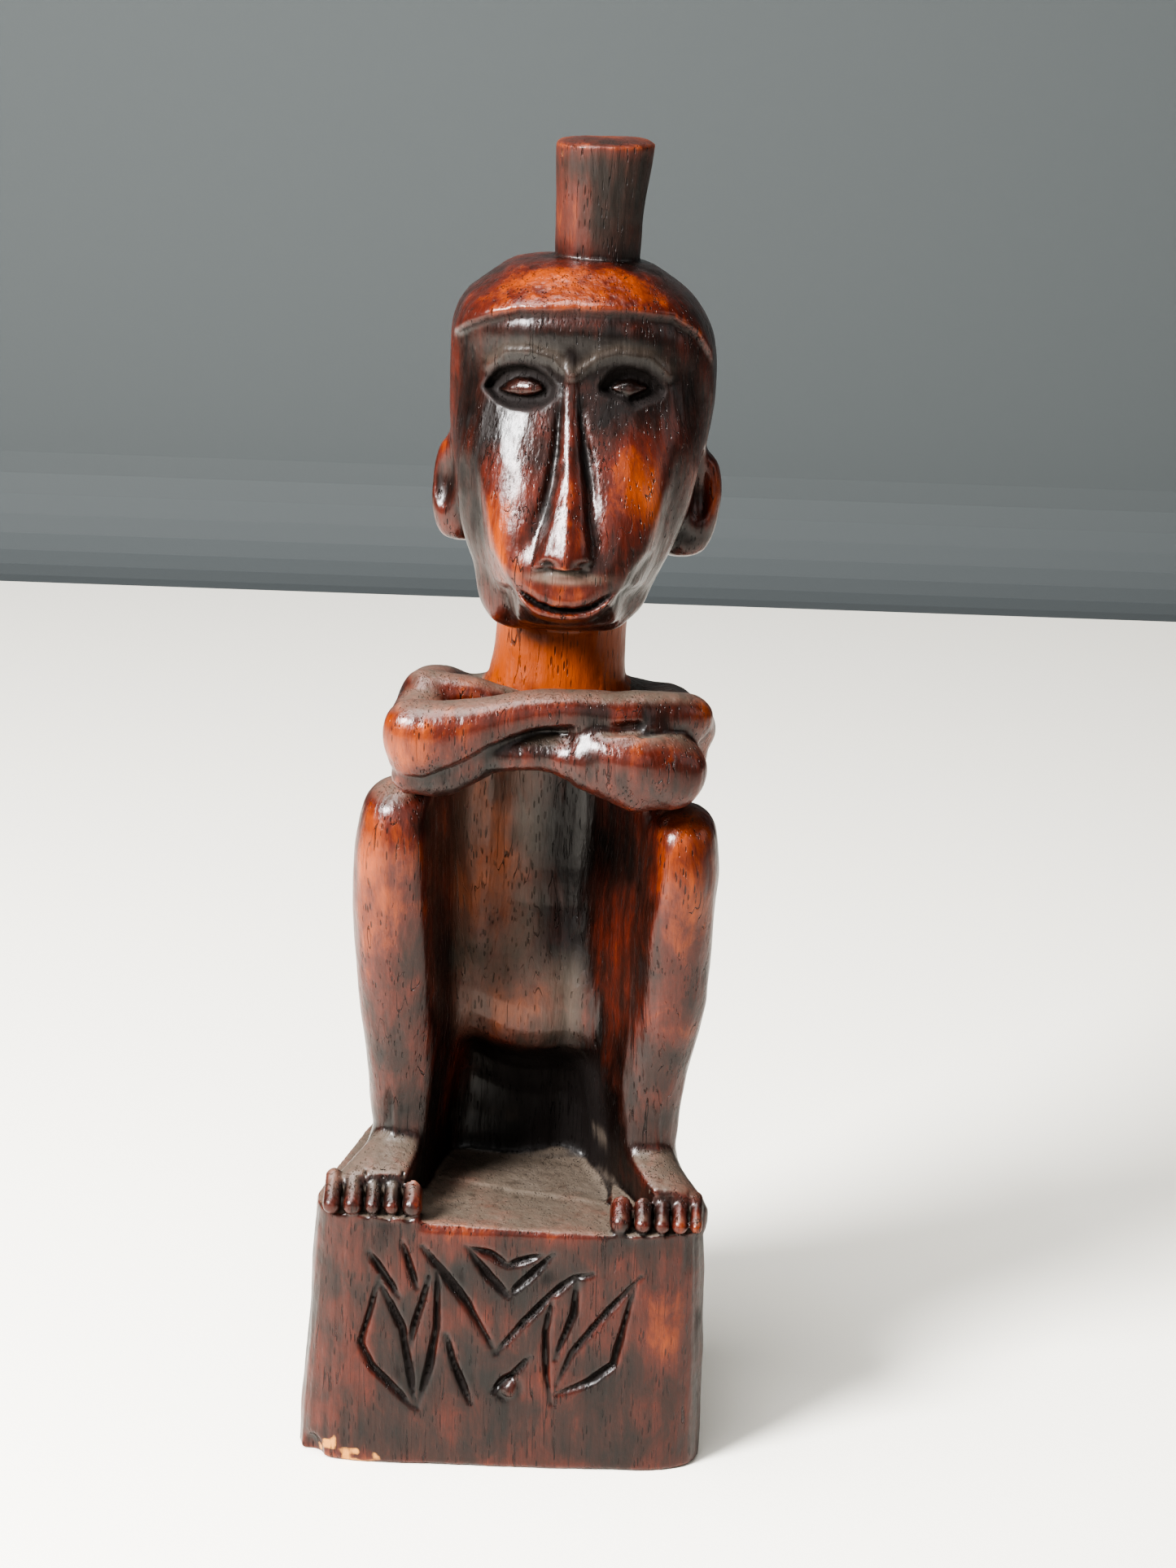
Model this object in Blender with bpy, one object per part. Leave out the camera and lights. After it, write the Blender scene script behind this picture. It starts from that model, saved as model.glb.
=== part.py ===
"""Seated figure of dark carved hardwood on a plinth, arms crossed on its raised knees.

The figure is one block of wood. Here it is laid out as the masses a carver blocks out
one after another, each a closed solid that meets its neighbours with a hairline gap.
Sizes are in millimetres in the tables below and become metres when a mesh is made.
The figure faces -Y, +Z is up, and the origin is on the ground under the plinth's middle.
Right and left are the figure's own, so its right side is at -X.
"""

import math

import bpy
import bmesh
from mathutils import Vector

MM = 0.001

# Driving dimensions, in millimetres.
HEIGHT = 330.0
PLINTH_TOP = 67.0
PLINTH_TOP_SLOPE = -0.032  # the top falls towards the figure's left
LEAN = 0.045  # how far the carved axis moves to +X for each millimetre of height
SHOULDER_TOP = 197.0
CHIN = 215.5
CROWN = 302.0
KNEE_TOP = 178.0
ANKLE = 81.0
GAP = 0.3  # hairline between neighbouring solids

SIDES = 20  # points round a cross-section
STEPS = 2  # rings from one listed section to the next
CAP_RINGS = 3  # rings in a rounded end
CAP_SWEEP = math.radians(80)  # how far round a rounded end goes before its small flat
TOES = 5

# Waxed hardwood: linear colour and roughness for each finish.
FINISHES = {
    "dark_patina": ((0.065, 0.022, 0.014), 0.42),
    "red_patina": ((0.160, 0.040, 0.016), 0.32),
    "neck_wood": ((0.260, 0.085, 0.030), 0.50),
    "topknot_wood": ((0.150, 0.058, 0.030), 0.48),
}


# --- Cross-sections -----------------------------------------------------------------
# A section is (centre, across, deep): the half-size vectors lie in the section's plane.


def on_axis(x, y, z):
    """A point whose x is counted from the leaning axis of the figure."""
    return Vector((x + LEAN * z, y, z))


def upright(stations, slope=0.0):
    """Level sections from (z, x, half_width, y_front, y_back). slope tilts the last one."""
    sections = []
    for z, x, half_width, front, back in stations:
        centre = on_axis(x, (front + back) / 2, z)
        sections.append([centre, Vector((half_width, 0, 0)), Vector((0, (back - front) / 2, 0))])
    sections[-1][1].z = slope * sections[-1][1].x
    return sections


def limb(stations, side):
    """Sections square to a path of (x, y, z, half_across, half_deep). across lies along side."""
    centres = [on_axis(x, y, z) for x, y, z, _, _ in stations]
    sections = []
    for i, (_, _, _, half_across, half_deep) in enumerate(stations):
        before = centres[max(i - 1, 0)]
        after = centres[min(i + 1, len(centres) - 1)]
        along = (after - before).normalized()
        deep = along.cross(Vector(side)).normalized()
        across = deep.cross(along)
        sections.append([centres[i], across * half_across, deep * half_deep])
    return sections


def between(a, b, c, d, t):
    """Catmull-Rom value from b to c."""
    return 0.5 * (2 * b + (c - a) * t + (2 * a - 5 * b + 4 * c - d) * t**2 + (3 * b - a - 3 * c + d) * t**3)


def smoothed(sections, steps=STEPS):
    """More sections between the listed ones, on a smooth curve through all of them."""
    finer = []
    last = len(sections) - 1
    for i in range(last):
        four = [sections[min(max(i + k, 0), last)] for k in (-1, 0, 1, 2)]
        for step in range(steps):
            t = step / steps
            finer.append([between(*(section[part] for section in four), t) for part in range(3)])
    finer.append(sections[last])
    return finer


def rounded_end(sections, length):
    """Rings that close the last section in a quarter round of this length."""
    centre, across, deep = sections[-1]
    along = (centre - sections[-2][0]).normalized()
    rings = []
    for k in range(1, CAP_RINGS + 1):
        angle = CAP_SWEEP * k / CAP_RINGS
        rings.append([centre + along * length * math.sin(angle), across * math.cos(angle), deep * math.cos(angle)])
    return rings


def with_ends(sections, start=0.0, end=0.0):
    """The sections with a rounded start or end of the given length. Zero leaves it flat."""
    head = list(reversed(rounded_end(list(reversed(sections)), start))) if start else []
    tail = rounded_end(sections, end) if end else []
    return head + list(sections) + tail


def grown(sections, by):
    """The same shape, larger by this much all round, for cutting a neighbour with a gap."""
    larger = []
    for centre, across, deep in sections:
        larger.append(
            [
                centre.copy(),
                across * (1 + by / across.length),
                deep * (1 + by / deep.length),
            ]
        )
    larger[0][0] -= (sections[1][0] - sections[0][0]).normalized() * by
    larger[-1][0] += (sections[-1][0] - sections[-2][0]).normalized() * by
    return larger


# --- Meshes and objects -------------------------------------------------------------


def ring(section, power, sides, wedge):
    """Points of a superellipse: power 2 is an ellipse, and more is squarer.

    wedge is the share of its width that the section loses from front to back.
    """
    centre, across, deep = section
    points = []
    for k in range(sides):
        angle = 2 * math.pi * (k + 0.5) / sides
        c, s = math.cos(angle), math.sin(angle)
        u = math.copysign(abs(c) ** (2 / power), c)
        v = math.copysign(abs(s) ** (2 / power), s)
        u *= 1 - wedge * (v + 1) / 2
        points.append((centre + across * u + deep * v) * MM)
    return points


def loft(name, sections, power, sides=SIDES, wedge=0.0):
    """A closed mesh through the sections, with flat caps."""
    bm = bmesh.new()
    rings = [
        [bm.verts.new(point) for point in ring(section, power, sides, wedge)]
        for section in sections
    ]
    for lower, upper in zip(rings, rings[1:]):
        for k in range(sides):
            following = (k + 1) % sides
            bm.faces.new((lower[k], lower[following], upper[following], upper[k]))
    bm.faces.new(list(reversed(rings[0])))
    bm.faces.new(rings[-1])
    bmesh.ops.recalc_face_normals(bm, faces=bm.faces)
    mesh = bpy.data.meshes.new(name)
    bm.to_mesh(mesh)
    bm.free()
    return mesh


def material(name):
    """The Principled material of one of FINISHES, made once."""
    if name in bpy.data.materials:
        return bpy.data.materials[name]
    made = bpy.data.materials.new(name)
    made.use_nodes = True
    colour, roughness = FINISHES[name]
    shader = made.node_tree.nodes["Principled BSDF"]
    shader.inputs["Base Color"].default_value = (*colour, 1)
    shader.inputs["Roughness"].default_value = roughness
    shader.inputs["Metallic"].default_value = 0.0
    return made


def place(name, mesh):
    made = bpy.data.objects.new(name, mesh)
    bpy.context.scene.collection.objects.link(made)
    return made


def piece(name, sections, power, finish, cut_by=(), sides=SIDES, wedge=0.0):
    """A visible solid, trimmed by each cutter in turn."""
    mesh = loft(name, sections, power, sides, wedge)
    mesh.materials.append(material(finish))
    mesh.shade_smooth()
    mesh.set_sharp_from_angle(angle=math.radians(40))
    made = place(name, mesh)
    for cutter in cut_by:
        cut = made.modifiers.new("trim by " + cutter.name, "BOOLEAN")
        cut.operation = "DIFFERENCE"
        cut.solver = "EXACT"
        cut.object = cutter
    return made


def hidden(made):
    made.hide_render = True
    made.display_type = "WIRE"
    return made


def cutter(name, sections, power, sides=SIDES, wedge=0.0):
    """A hidden solid, one gap larger than the piece that it stands for."""
    mesh = loft("cut_" + name, grown(sections, GAP), power, sides, wedge)
    return hidden(place("cut_" + name, mesh))


# --- The shapes of the figure ---------------------------------------------------------


def plinth_sections():
    """A wedge from a split log: broad carved front, narrower back, wider at its foot."""
    return upright(
        [
            (0.0, -0.2, 55.5, -38.5, 38.5),
            (PLINTH_TOP / 2, -0.8, 54.2, -38.5, 38.5),
            (PLINTH_TOP, -1.8, 52.4, -38.5, 38.5),
        ],
        slope=PLINTH_TOP_SLOPE,
    )


def torso_sections():
    """Seat, belly with its lower lip, drawn-in waist, chest and shoulders."""
    return with_ends(
        smoothed(
            upright(
                [
                    (62.0, 0.0, 31.0, 6.0, 37.0),
                    (84.0, 0.0, 32.0, 6.5, 38.5),
                    (95.0, -0.5, 30.5, 4.5, 37.0),
                    (104.0, -1.0, 28.5, -4.0, 35.5),
                    (114.0, -1.0, 27.0, -6.0, 33.5),
                    (129.0, -1.0, 25.5, -1.0, 31.5),
                    (150.0, -0.5, 25.5, 3.0, 32.5),
                    (168.0, 0.0, 28.0, 3.5, 34.0),
                    (182.0, 0.0, 31.0, 1.0, 33.0),
                    (190.0, 0.0, 29.5, -0.5, 29.0),
                ]
            )
        ),
        end=SHOULDER_TOP - 190.0,
    )


def neck_sections():
    """A short column that spreads where it meets the shoulders."""
    return smoothed(
        upright(
            [
                (186.0, -0.8, 21.0, -7.0, 26.0),
                (197.0, -0.8, 17.6, -7.5, 24.0),
                (204.0, -0.6, 16.5, -7.0, 23.0),
                (214.0, -0.5, 16.3, -7.0, 23.5),
                (226.0, -0.5, 16.8, -8.0, 24.5),
            ]
        )
    )


def head_sections():
    """A tall head: pointed muzzle and chin, broad flat brow and a low domed crown."""
    return with_ends(
        smoothed(
            upright(
                [
                    (CHIN + 1.5, 0.3, 16.0, -28.5, 6.0),
                    (222.0, 0.3, 19.0, -32.5, 9.0),
                    (231.0, 0.4, 22.8, -34.5, 17.0),
                    (241.0, 0.4, 26.8, -32.0, 26.0),
                    (253.0, 0.3, 30.2, -27.0, 33.0),
                    (268.0, 0.1, 32.3, -22.0, 37.5),
                    (281.0, -0.5, 32.3, -21.5, 38.5),
                    (288.0, -1.6, 30.7, -22.5, 36.5),
                    (293.5, -2.3, 27.0, -19.5, 32.5),
                    (298.5, -2.4, 20.0, -12.0, 25.0),
                ]
            )
        ),
        start=1.2,
        end=CROWN - 298.5,
    )


def topknot_sections():
    """A short staff rising from the crown, flared to a worn, rounded rim."""
    return with_ends(
        smoothed(
            upright(
                [
                    (294.0, 1.2, 10.2, -1.0, 17.0),
                    (310.0, 1.1, 10.5, -1.5, 17.5),
                    (322.0, 1.0, 11.4, -2.5, 18.5),
                    (HEIGHT - 1.6, 1.0, 11.9, -3.0, 19.0),
                ]
            )
        ),
        end=1.6,
    )


def ear_sections(side):
    """An upright flange that stands out from the side of the head."""
    drop, out = (0.0, 0.0) if side < 0 else (2.2, 1.0)
    return with_ends(
        smoothed(
            upright(
                [
                    (233.5 - drop, side * (26.6 + out), 6.5, 1.0, 10.5),
                    (240.0 - drop, side * (27.8 + out), 7.2, 0.0, 11.5),
                    (248.0 - drop, side * (28.7 + out), 6.6, 0.5, 11.5),
                    (254.5 - drop, side * (29.6 + out), 4.6, 2.0, 10.5),
                ]
            ),
        ),
        start=2.6,
        end=3.4,
    )


def shin_sections(side):
    """Ankle to knee. The figure's right knee is the broader one."""
    broad = 1.0 if side < 0 else 0.88
    reach = 1.0 if side < 0 else 0.92
    low = 0.0 if side < 0 else 4.5
    return with_ends(
        smoothed(
            upright(
                [
                    (ANKLE - 6.0, side * 31.0, 8.1, -20.5, -3.5),
                    (ANKLE + 4.0, side * 31.5, 7.8, -19.5, -4.5),
                    (100.0, side * 32.2, 8.8 * broad, -22.0, -6.5),
                    (122.0, side * 34.0, 10.4 * broad, -26.5, -8.5),
                    (145.0, side * 35.4 * reach, 11.4 * broad, -31.0, -8.5),
                    (160.0 - low, side * 35.8 * reach, 11.4 * broad, -33.0, -8.0),
                    (168.5 - low, side * 36.0 * reach, 10.2 * broad, -32.0, -9.0),
                ]
            )
        ),
        end=KNEE_TOP - 168.5,
    )


def thigh_sections(side):
    """Hip to knee, closing the inverted V of the folded leg."""
    inward = 0.0 if side < 0 else 5.0
    return with_ends(
        smoothed(
            limb(
                [
                    (side * (28.5 - inward / 2), 21.0, 80.0, 13.5, 16.5),
                    (side * (29.2 - inward / 2), 12.0, 104.0, 13.3, 12.5),
                    (side * (29.6 - inward), 3.0, 126.0, 13.0, 10.0),
                    (side * (31.5 - inward / 2), -6.0, 146.0, 12.0, 9.5),
                    (side * (33.6 - inward / 2), -13.5, 164.0, 10.2, 8.5),
                ],
                (1, 0, 0),
            )
        ),
        start=9.0,
        end=6.0,
    )


def foot_sections(side):
    """Heel to toe tips. The outer edge splays, and the inner edge runs straight."""
    low, high = (62.0, 0.0) if side < 0 else (60.0, -1.8)
    stations = []
    for y, x, half_width, top in (
        (2.0, 30.5, 7.5, 80.5),
        (-8.0, 30.8, 8.2, 83.5),
        (-18.0, 31.6, 9.2, 83.0),
        (-26.0, 33.2, 11.6, 80.0),
        (-33.0, 34.9, 13.6, 77.8),
    ):
        crest = top + high
        stations.append((side * x, y, (crest + low) / 2, half_width, (crest - low) / 2))
    return with_ends(smoothed(limb(stations, (1, 0, 0))), start=3.0, end=5.2)


def upper_arm_sections(side):
    """Shoulder to elbow, reaching forward above the knee."""
    if side < 0:
        stations = [
            (-26.5, 14.0, 187.5, 8.5, 8.8),
            (-30.5, 3.0, 191.5, 8.0, 8.4),
            (-32.0, -9.0, 192.0, 7.5, 8.4),
            (-33.5, -21.0, 190.0, 7.5, 8.0),
        ]
    else:
        stations = [
            (26.0, 14.0, 186.5, 8.5, 8.5),
            (29.0, 3.0, 187.5, 7.8, 8.0),
            (30.5, -8.0, 187.0, 7.2, 7.5),
            (31.0, -19.0, 185.5, 6.8, 7.5),
        ]
    return with_ends(
        smoothed(limb(stations, (1, 0, 0))),
        start=6.0,
        end=4.0,
    )


def right_forearm_sections():
    """The upper bar of the crossed arms: heavy elbow at the right, slim wrist at the left."""
    return with_ends(
        smoothed(
            limb(
                [
                    (-34.0, -32.0, 191.0, 7.5, 9.8),
                    (-26.0, -33.0, 192.0, 7.5, 8.8),
                    (-15.0, -33.0, 196.0, 6.8, 6.2),
                    (-4.0, -32.0, 199.0, 6.2, 5.0),
                    (10.0, -31.0, 199.0, 6.0, 4.9),
                    (25.0, -28.0, 198.4, 5.8, 4.8),
                ],
                (0, 1, 0),
            )
        ),
        start=7.5,
    )


def right_hand_sections():
    """The end of the upper bar, laid over the left upper arm."""
    return with_ends(
        smoothed(
            limb(
                [
                    (26.5, -27.4, 198.2, 5.8, 4.8),
                    (31.5, -24.0, 196.8, 5.8, 5.4),
                    (34.2, -18.5, 192.0, 5.4, 5.0),
                ],
                (0, 1, 0),
            )
        ),
        end=6.0,
    )


def left_forearm_sections():
    """The lower bar: elbow on the left knee, passing under the right forearm."""
    return with_ends(
        smoothed(
            limb(
                [
                    (30.5, -31.0, 183.8, 7.8, 8.6),
                    (22.0, -33.0, 187.4, 8.0, 8.4),
                    (11.0, -33.0, 189.2, 7.2, 7.0),
                    (0.0, -29.0, 188.0, 6.2, 5.8),
                    (-11.0, -27.5, 188.0, 6.2, 5.0),
                ],
                (0, 1, 0),
            )
        ),
        start=6.5,
    )


def left_hand_sections():
    """The end of the lower bar, flat on the right knee under the right elbow."""
    return with_ends(
        smoothed(
            limb(
                [
                    (-12.2, -27.4, 187.6, 6.2, 5.0),
                    (-20.0, -27.5, 184.0, 7.0, 5.4),
                    (-28.0, -28.0, 181.0, 7.2, 5.0),
                ],
                (0, 1, 0),
            )
        ),
        end=5.0,
    )


def toe_slot(name, side, share):
    """A wedge that parts two toes: a point at the knuckles, open at the tips."""
    knuckle = on_axis(side * (34.0 + 11.0 * share), -30.0, 70.0)
    tip = on_axis(side * (35.2 + 13.6 * share), -40.0, 70.0)
    half_open = 1.5
    bm = bmesh.new()
    corners = []
    for z in (PLINTH_TOP - 8.0, PLINTH_TOP + 25.0):
        flare = half_open if z > PLINTH_TOP else half_open * 1.4
        corners.append(
            [
                bm.verts.new(Vector((x, y, z)) * MM)
                for x, y in ((knuckle.x, knuckle.y), (tip.x + flare, tip.y), (tip.x - flare, tip.y))
            ]
        )
    lower, upper = corners
    bm.faces.new(lower)
    bm.faces.new(upper)
    for k in range(3):
        following = (k + 1) % 3
        bm.faces.new((lower[k], lower[following], upper[following], upper[k]))
    bmesh.ops.recalc_face_normals(bm, faces=bm.faces)
    mesh = bpy.data.meshes.new(name)
    bm.to_mesh(mesh)
    bm.free()
    return hidden(place(name, mesh))


# --- Assembly -------------------------------------------------------------------------

PLINTH_POWER = 6.0
PLINTH_WEDGE = 0.32
TORSO_POWER = 2.7
THIGH_POWER = 3.4
HEAD_POWER = 2.5
LIMB_POWER = 2.3
FOOT_POWER = 2.8
SIDE_NAMES = {-1: "right", 1: "left"}


def build_base():
    """The plinth, and the cutter that keeps everything else off it."""
    sections = plinth_sections()
    block = piece("plinth", sections, PLINTH_POWER, "dark_patina", sides=36, wedge=PLINTH_WEDGE)
    worn = block.modifiers.new("worn edges", "BEVEL")
    worn.width = 0.9 * MM
    worn.segments = 2
    worn.limit_method = "ANGLE"
    worn.angle_limit = math.radians(60)
    return cutter("plinth", sections, PLINTH_POWER, sides=36, wedge=PLINTH_WEDGE)


def build_trunk(plinth_cut):
    """Torso, neck, head, ears and topknot, each trimmed by the one that it grows from."""
    torso = torso_sections()
    piece("torso", torso, TORSO_POWER, "dark_patina", [plinth_cut])
    torso_cut = cutter("torso", torso, TORSO_POWER)
    head = head_sections()
    piece("head", head, HEAD_POWER, "red_patina", sides=28)
    head_cut = cutter("head", head, HEAD_POWER, sides=28)
    piece("neck", neck_sections(), LIMB_POWER, "neck_wood", [torso_cut, head_cut])
    piece("topknot", topknot_sections(), LIMB_POWER, "topknot_wood", [head_cut])
    for side, name in SIDE_NAMES.items():
        piece(name + "_ear", ear_sections(side), LIMB_POWER, "red_patina", [head_cut], sides=16)
    return torso_cut


def build_leg(side, plinth_cut, torso_cut):
    """Foot, shin and thigh of one side. Returns the cutters of the knee."""
    name = SIDE_NAMES[side]
    foot, shin, thigh = foot_sections(side), shin_sections(side), thigh_sections(side)
    slots = [
        toe_slot(f"cut_{name}_toe_slot_{k}", side, 2 * k / TOES - 1) for k in range(1, TOES)
    ]
    piece(name + "_foot", foot, FOOT_POWER, "dark_patina", [plinth_cut, *slots], sides=20)
    foot_cut = cutter(name + "_foot", foot, FOOT_POWER, sides=20)
    shin_cut = cutter(name + "_shin", shin, LIMB_POWER)
    piece(name + "_shin", shin, LIMB_POWER, "red_patina", [foot_cut])
    piece(name + "_thigh", thigh, THIGH_POWER, "red_patina", [shin_cut, torso_cut, plinth_cut])
    return [shin_cut, cutter(name + "_thigh", thigh, THIGH_POWER)]


def build_arms(torso_cut, knee_cuts, neck_cut):
    """The crossed arms. The left forearm lies lowest, and the right hand on top of all."""
    left_fore, left_hand = left_forearm_sections(), left_hand_sections()
    right_fore, right_hand = right_forearm_sections(), right_hand_sections()
    piece("left_forearm", left_fore, LIMB_POWER, "red_patina", knee_cuts)
    left_fore_cut = cutter("left_forearm", left_fore, LIMB_POWER)
    piece("left_hand", left_hand, LIMB_POWER, "dark_patina", [*knee_cuts, left_fore_cut])
    left_hand_cut = cutter("left_hand", left_hand, LIMB_POWER)
    under = [left_fore_cut, left_hand_cut]
    piece("right_forearm", right_fore, LIMB_POWER, "red_patina", [*knee_cuts, *under])
    right_fore_cut = cutter("right_forearm", right_fore, LIMB_POWER)
    piece("right_hand", right_hand, LIMB_POWER, "red_patina", [*under, right_fore_cut])
    right_hand_cut = cutter("right_hand", right_hand, LIMB_POWER)
    over = [*under, right_fore_cut, right_hand_cut]
    for side, name in SIDE_NAMES.items():
        sections = upper_arm_sections(side)
        cuts = [torso_cut, neck_cut, *knee_cuts, *over]
        piece(name + "_upper_arm", sections, LIMB_POWER, "red_patina", cuts)


def main():
    for old in list(bpy.data.objects):
        bpy.data.objects.remove(old, do_unlink=True)
    plinth_cut = build_base()
    torso_cut = build_trunk(plinth_cut)
    neck_cut = cutter("neck", neck_sections(), LIMB_POWER)
    knee_cuts = []
    for side in SIDE_NAMES:
        knee_cuts += build_leg(side, plinth_cut, torso_cut)
    build_arms(torso_cut, knee_cuts, neck_cut)


main()
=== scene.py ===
"""Looks of a squatting figure carved from one block of hardwood, waxed and worn.

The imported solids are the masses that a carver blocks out. Here they are joined into one
block of wood on a fine grid of distances, and the face, fingers, toes and incised leaves
are cut into it. The skin is then parted along the same creases, so that each piece
stands for its own solid. Lengths are in millimetres until a mesh is made.
"""

import math

import bpy
import numpy as np
import openvdb
from mathutils import Matrix, Vector


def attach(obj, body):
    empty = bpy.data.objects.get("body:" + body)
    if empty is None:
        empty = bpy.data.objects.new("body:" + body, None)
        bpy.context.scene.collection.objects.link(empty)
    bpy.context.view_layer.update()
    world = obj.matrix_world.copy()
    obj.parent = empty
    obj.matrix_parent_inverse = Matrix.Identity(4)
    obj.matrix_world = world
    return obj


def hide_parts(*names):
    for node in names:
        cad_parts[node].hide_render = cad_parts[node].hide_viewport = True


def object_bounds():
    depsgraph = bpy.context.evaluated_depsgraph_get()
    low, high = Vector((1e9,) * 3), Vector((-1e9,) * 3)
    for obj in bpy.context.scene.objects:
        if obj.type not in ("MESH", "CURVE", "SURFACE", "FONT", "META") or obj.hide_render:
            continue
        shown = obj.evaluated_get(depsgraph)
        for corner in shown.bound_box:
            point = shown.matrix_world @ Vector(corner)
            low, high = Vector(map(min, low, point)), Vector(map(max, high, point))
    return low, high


bl_info = {
    "name": "Carved seated figure",
    "version": (1, 0, 0),
    "blender": (4, 5, 0),
    "location": "View3D > Sidebar > Carving",
    "description": "Cuts, waxes and lights a squatting hardwood figure",
    "category": "Object",
}

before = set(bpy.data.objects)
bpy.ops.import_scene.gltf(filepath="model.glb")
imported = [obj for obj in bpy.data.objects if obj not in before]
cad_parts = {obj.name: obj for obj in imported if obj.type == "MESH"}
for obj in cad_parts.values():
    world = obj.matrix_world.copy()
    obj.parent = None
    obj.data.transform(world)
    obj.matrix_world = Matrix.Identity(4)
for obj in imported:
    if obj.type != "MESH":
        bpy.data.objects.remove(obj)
BLOCKED_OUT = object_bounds()
NODES = sorted(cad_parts)

MM = 0.001
BAND = 6.0  # how far from the surface, in millimetres, a distance is kept
LEAN = 0.045  # how far the carved axis moves to +X for each millimetre of height
SHELL = 1.2  # thickness of each carved piece
HEIGHT = 330.0
SOFTEN_FROM = 68.5  # the plinth keeps its saw-cut planes below this height
RECESS_FLOOR = 68.4  # floor of the opening between the shins


def linear(colour):
    """Linear red, green and blue from an sRGB hex colour."""
    parts = [int(colour[i : i + 2], 16) / 255 for i in (1, 3, 5)]
    return tuple(c / 12.92 if c <= 0.04045 else ((c + 0.055) / 1.055) ** 2.4 for c in parts)


# --- The block of wood ----------------------------------------------------------------


def soft_min(a, b, round_mm):
    """The smaller distance, with the corner between the two rounded."""
    if round_mm <= 0:
        return np.minimum(a, b)
    near = np.clip(1 - np.abs(a - b) / round_mm, 0, None)
    return np.minimum(a, b) - near * near * round_mm / 4


def soft_max(a, b, round_mm):
    return -soft_min(-a, -b, round_mm)


def ramp(value, start, end):
    """0 before start and 1 after end, with an S between."""
    t = np.clip((value - start) / (end - start), 0, 1)
    return t * t * (3 - 2 * t)


def box_blur(field, cells):
    """The mean over a box of 2 * cells + 1 cells a side."""
    if cells < 1:
        return field
    for axis in range(3):
        pad = [(0, 0)] * 3
        pad[axis] = (cells + 1, cells)
        total = np.cumsum(np.pad(field, pad, mode="edge"), axis=axis, dtype=np.float64)
        ahead = [slice(None)] * 3
        behind = [slice(None)] * 3
        ahead[axis] = slice(2 * cells + 1, None)
        behind[axis] = slice(None, -2 * cells - 1)
        field = ((total[tuple(ahead)] - total[tuple(behind)]) / (2 * cells + 1)).astype(np.float32)
    return field


def mesh_arrays(solid):
    """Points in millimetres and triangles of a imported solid."""
    mesh = solid.data
    mesh.calc_loop_triangles()
    points = np.empty(len(mesh.vertices) * 3, np.float32)
    mesh.vertices.foreach_get("co", points)
    triangles = np.empty(len(mesh.loop_triangles) * 3, np.int32)
    mesh.loop_triangles.foreach_get("vertices", triangles)
    return points.reshape(-1, 3) / MM, triangles.reshape(-1, 3).astype(np.uint32)


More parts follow.
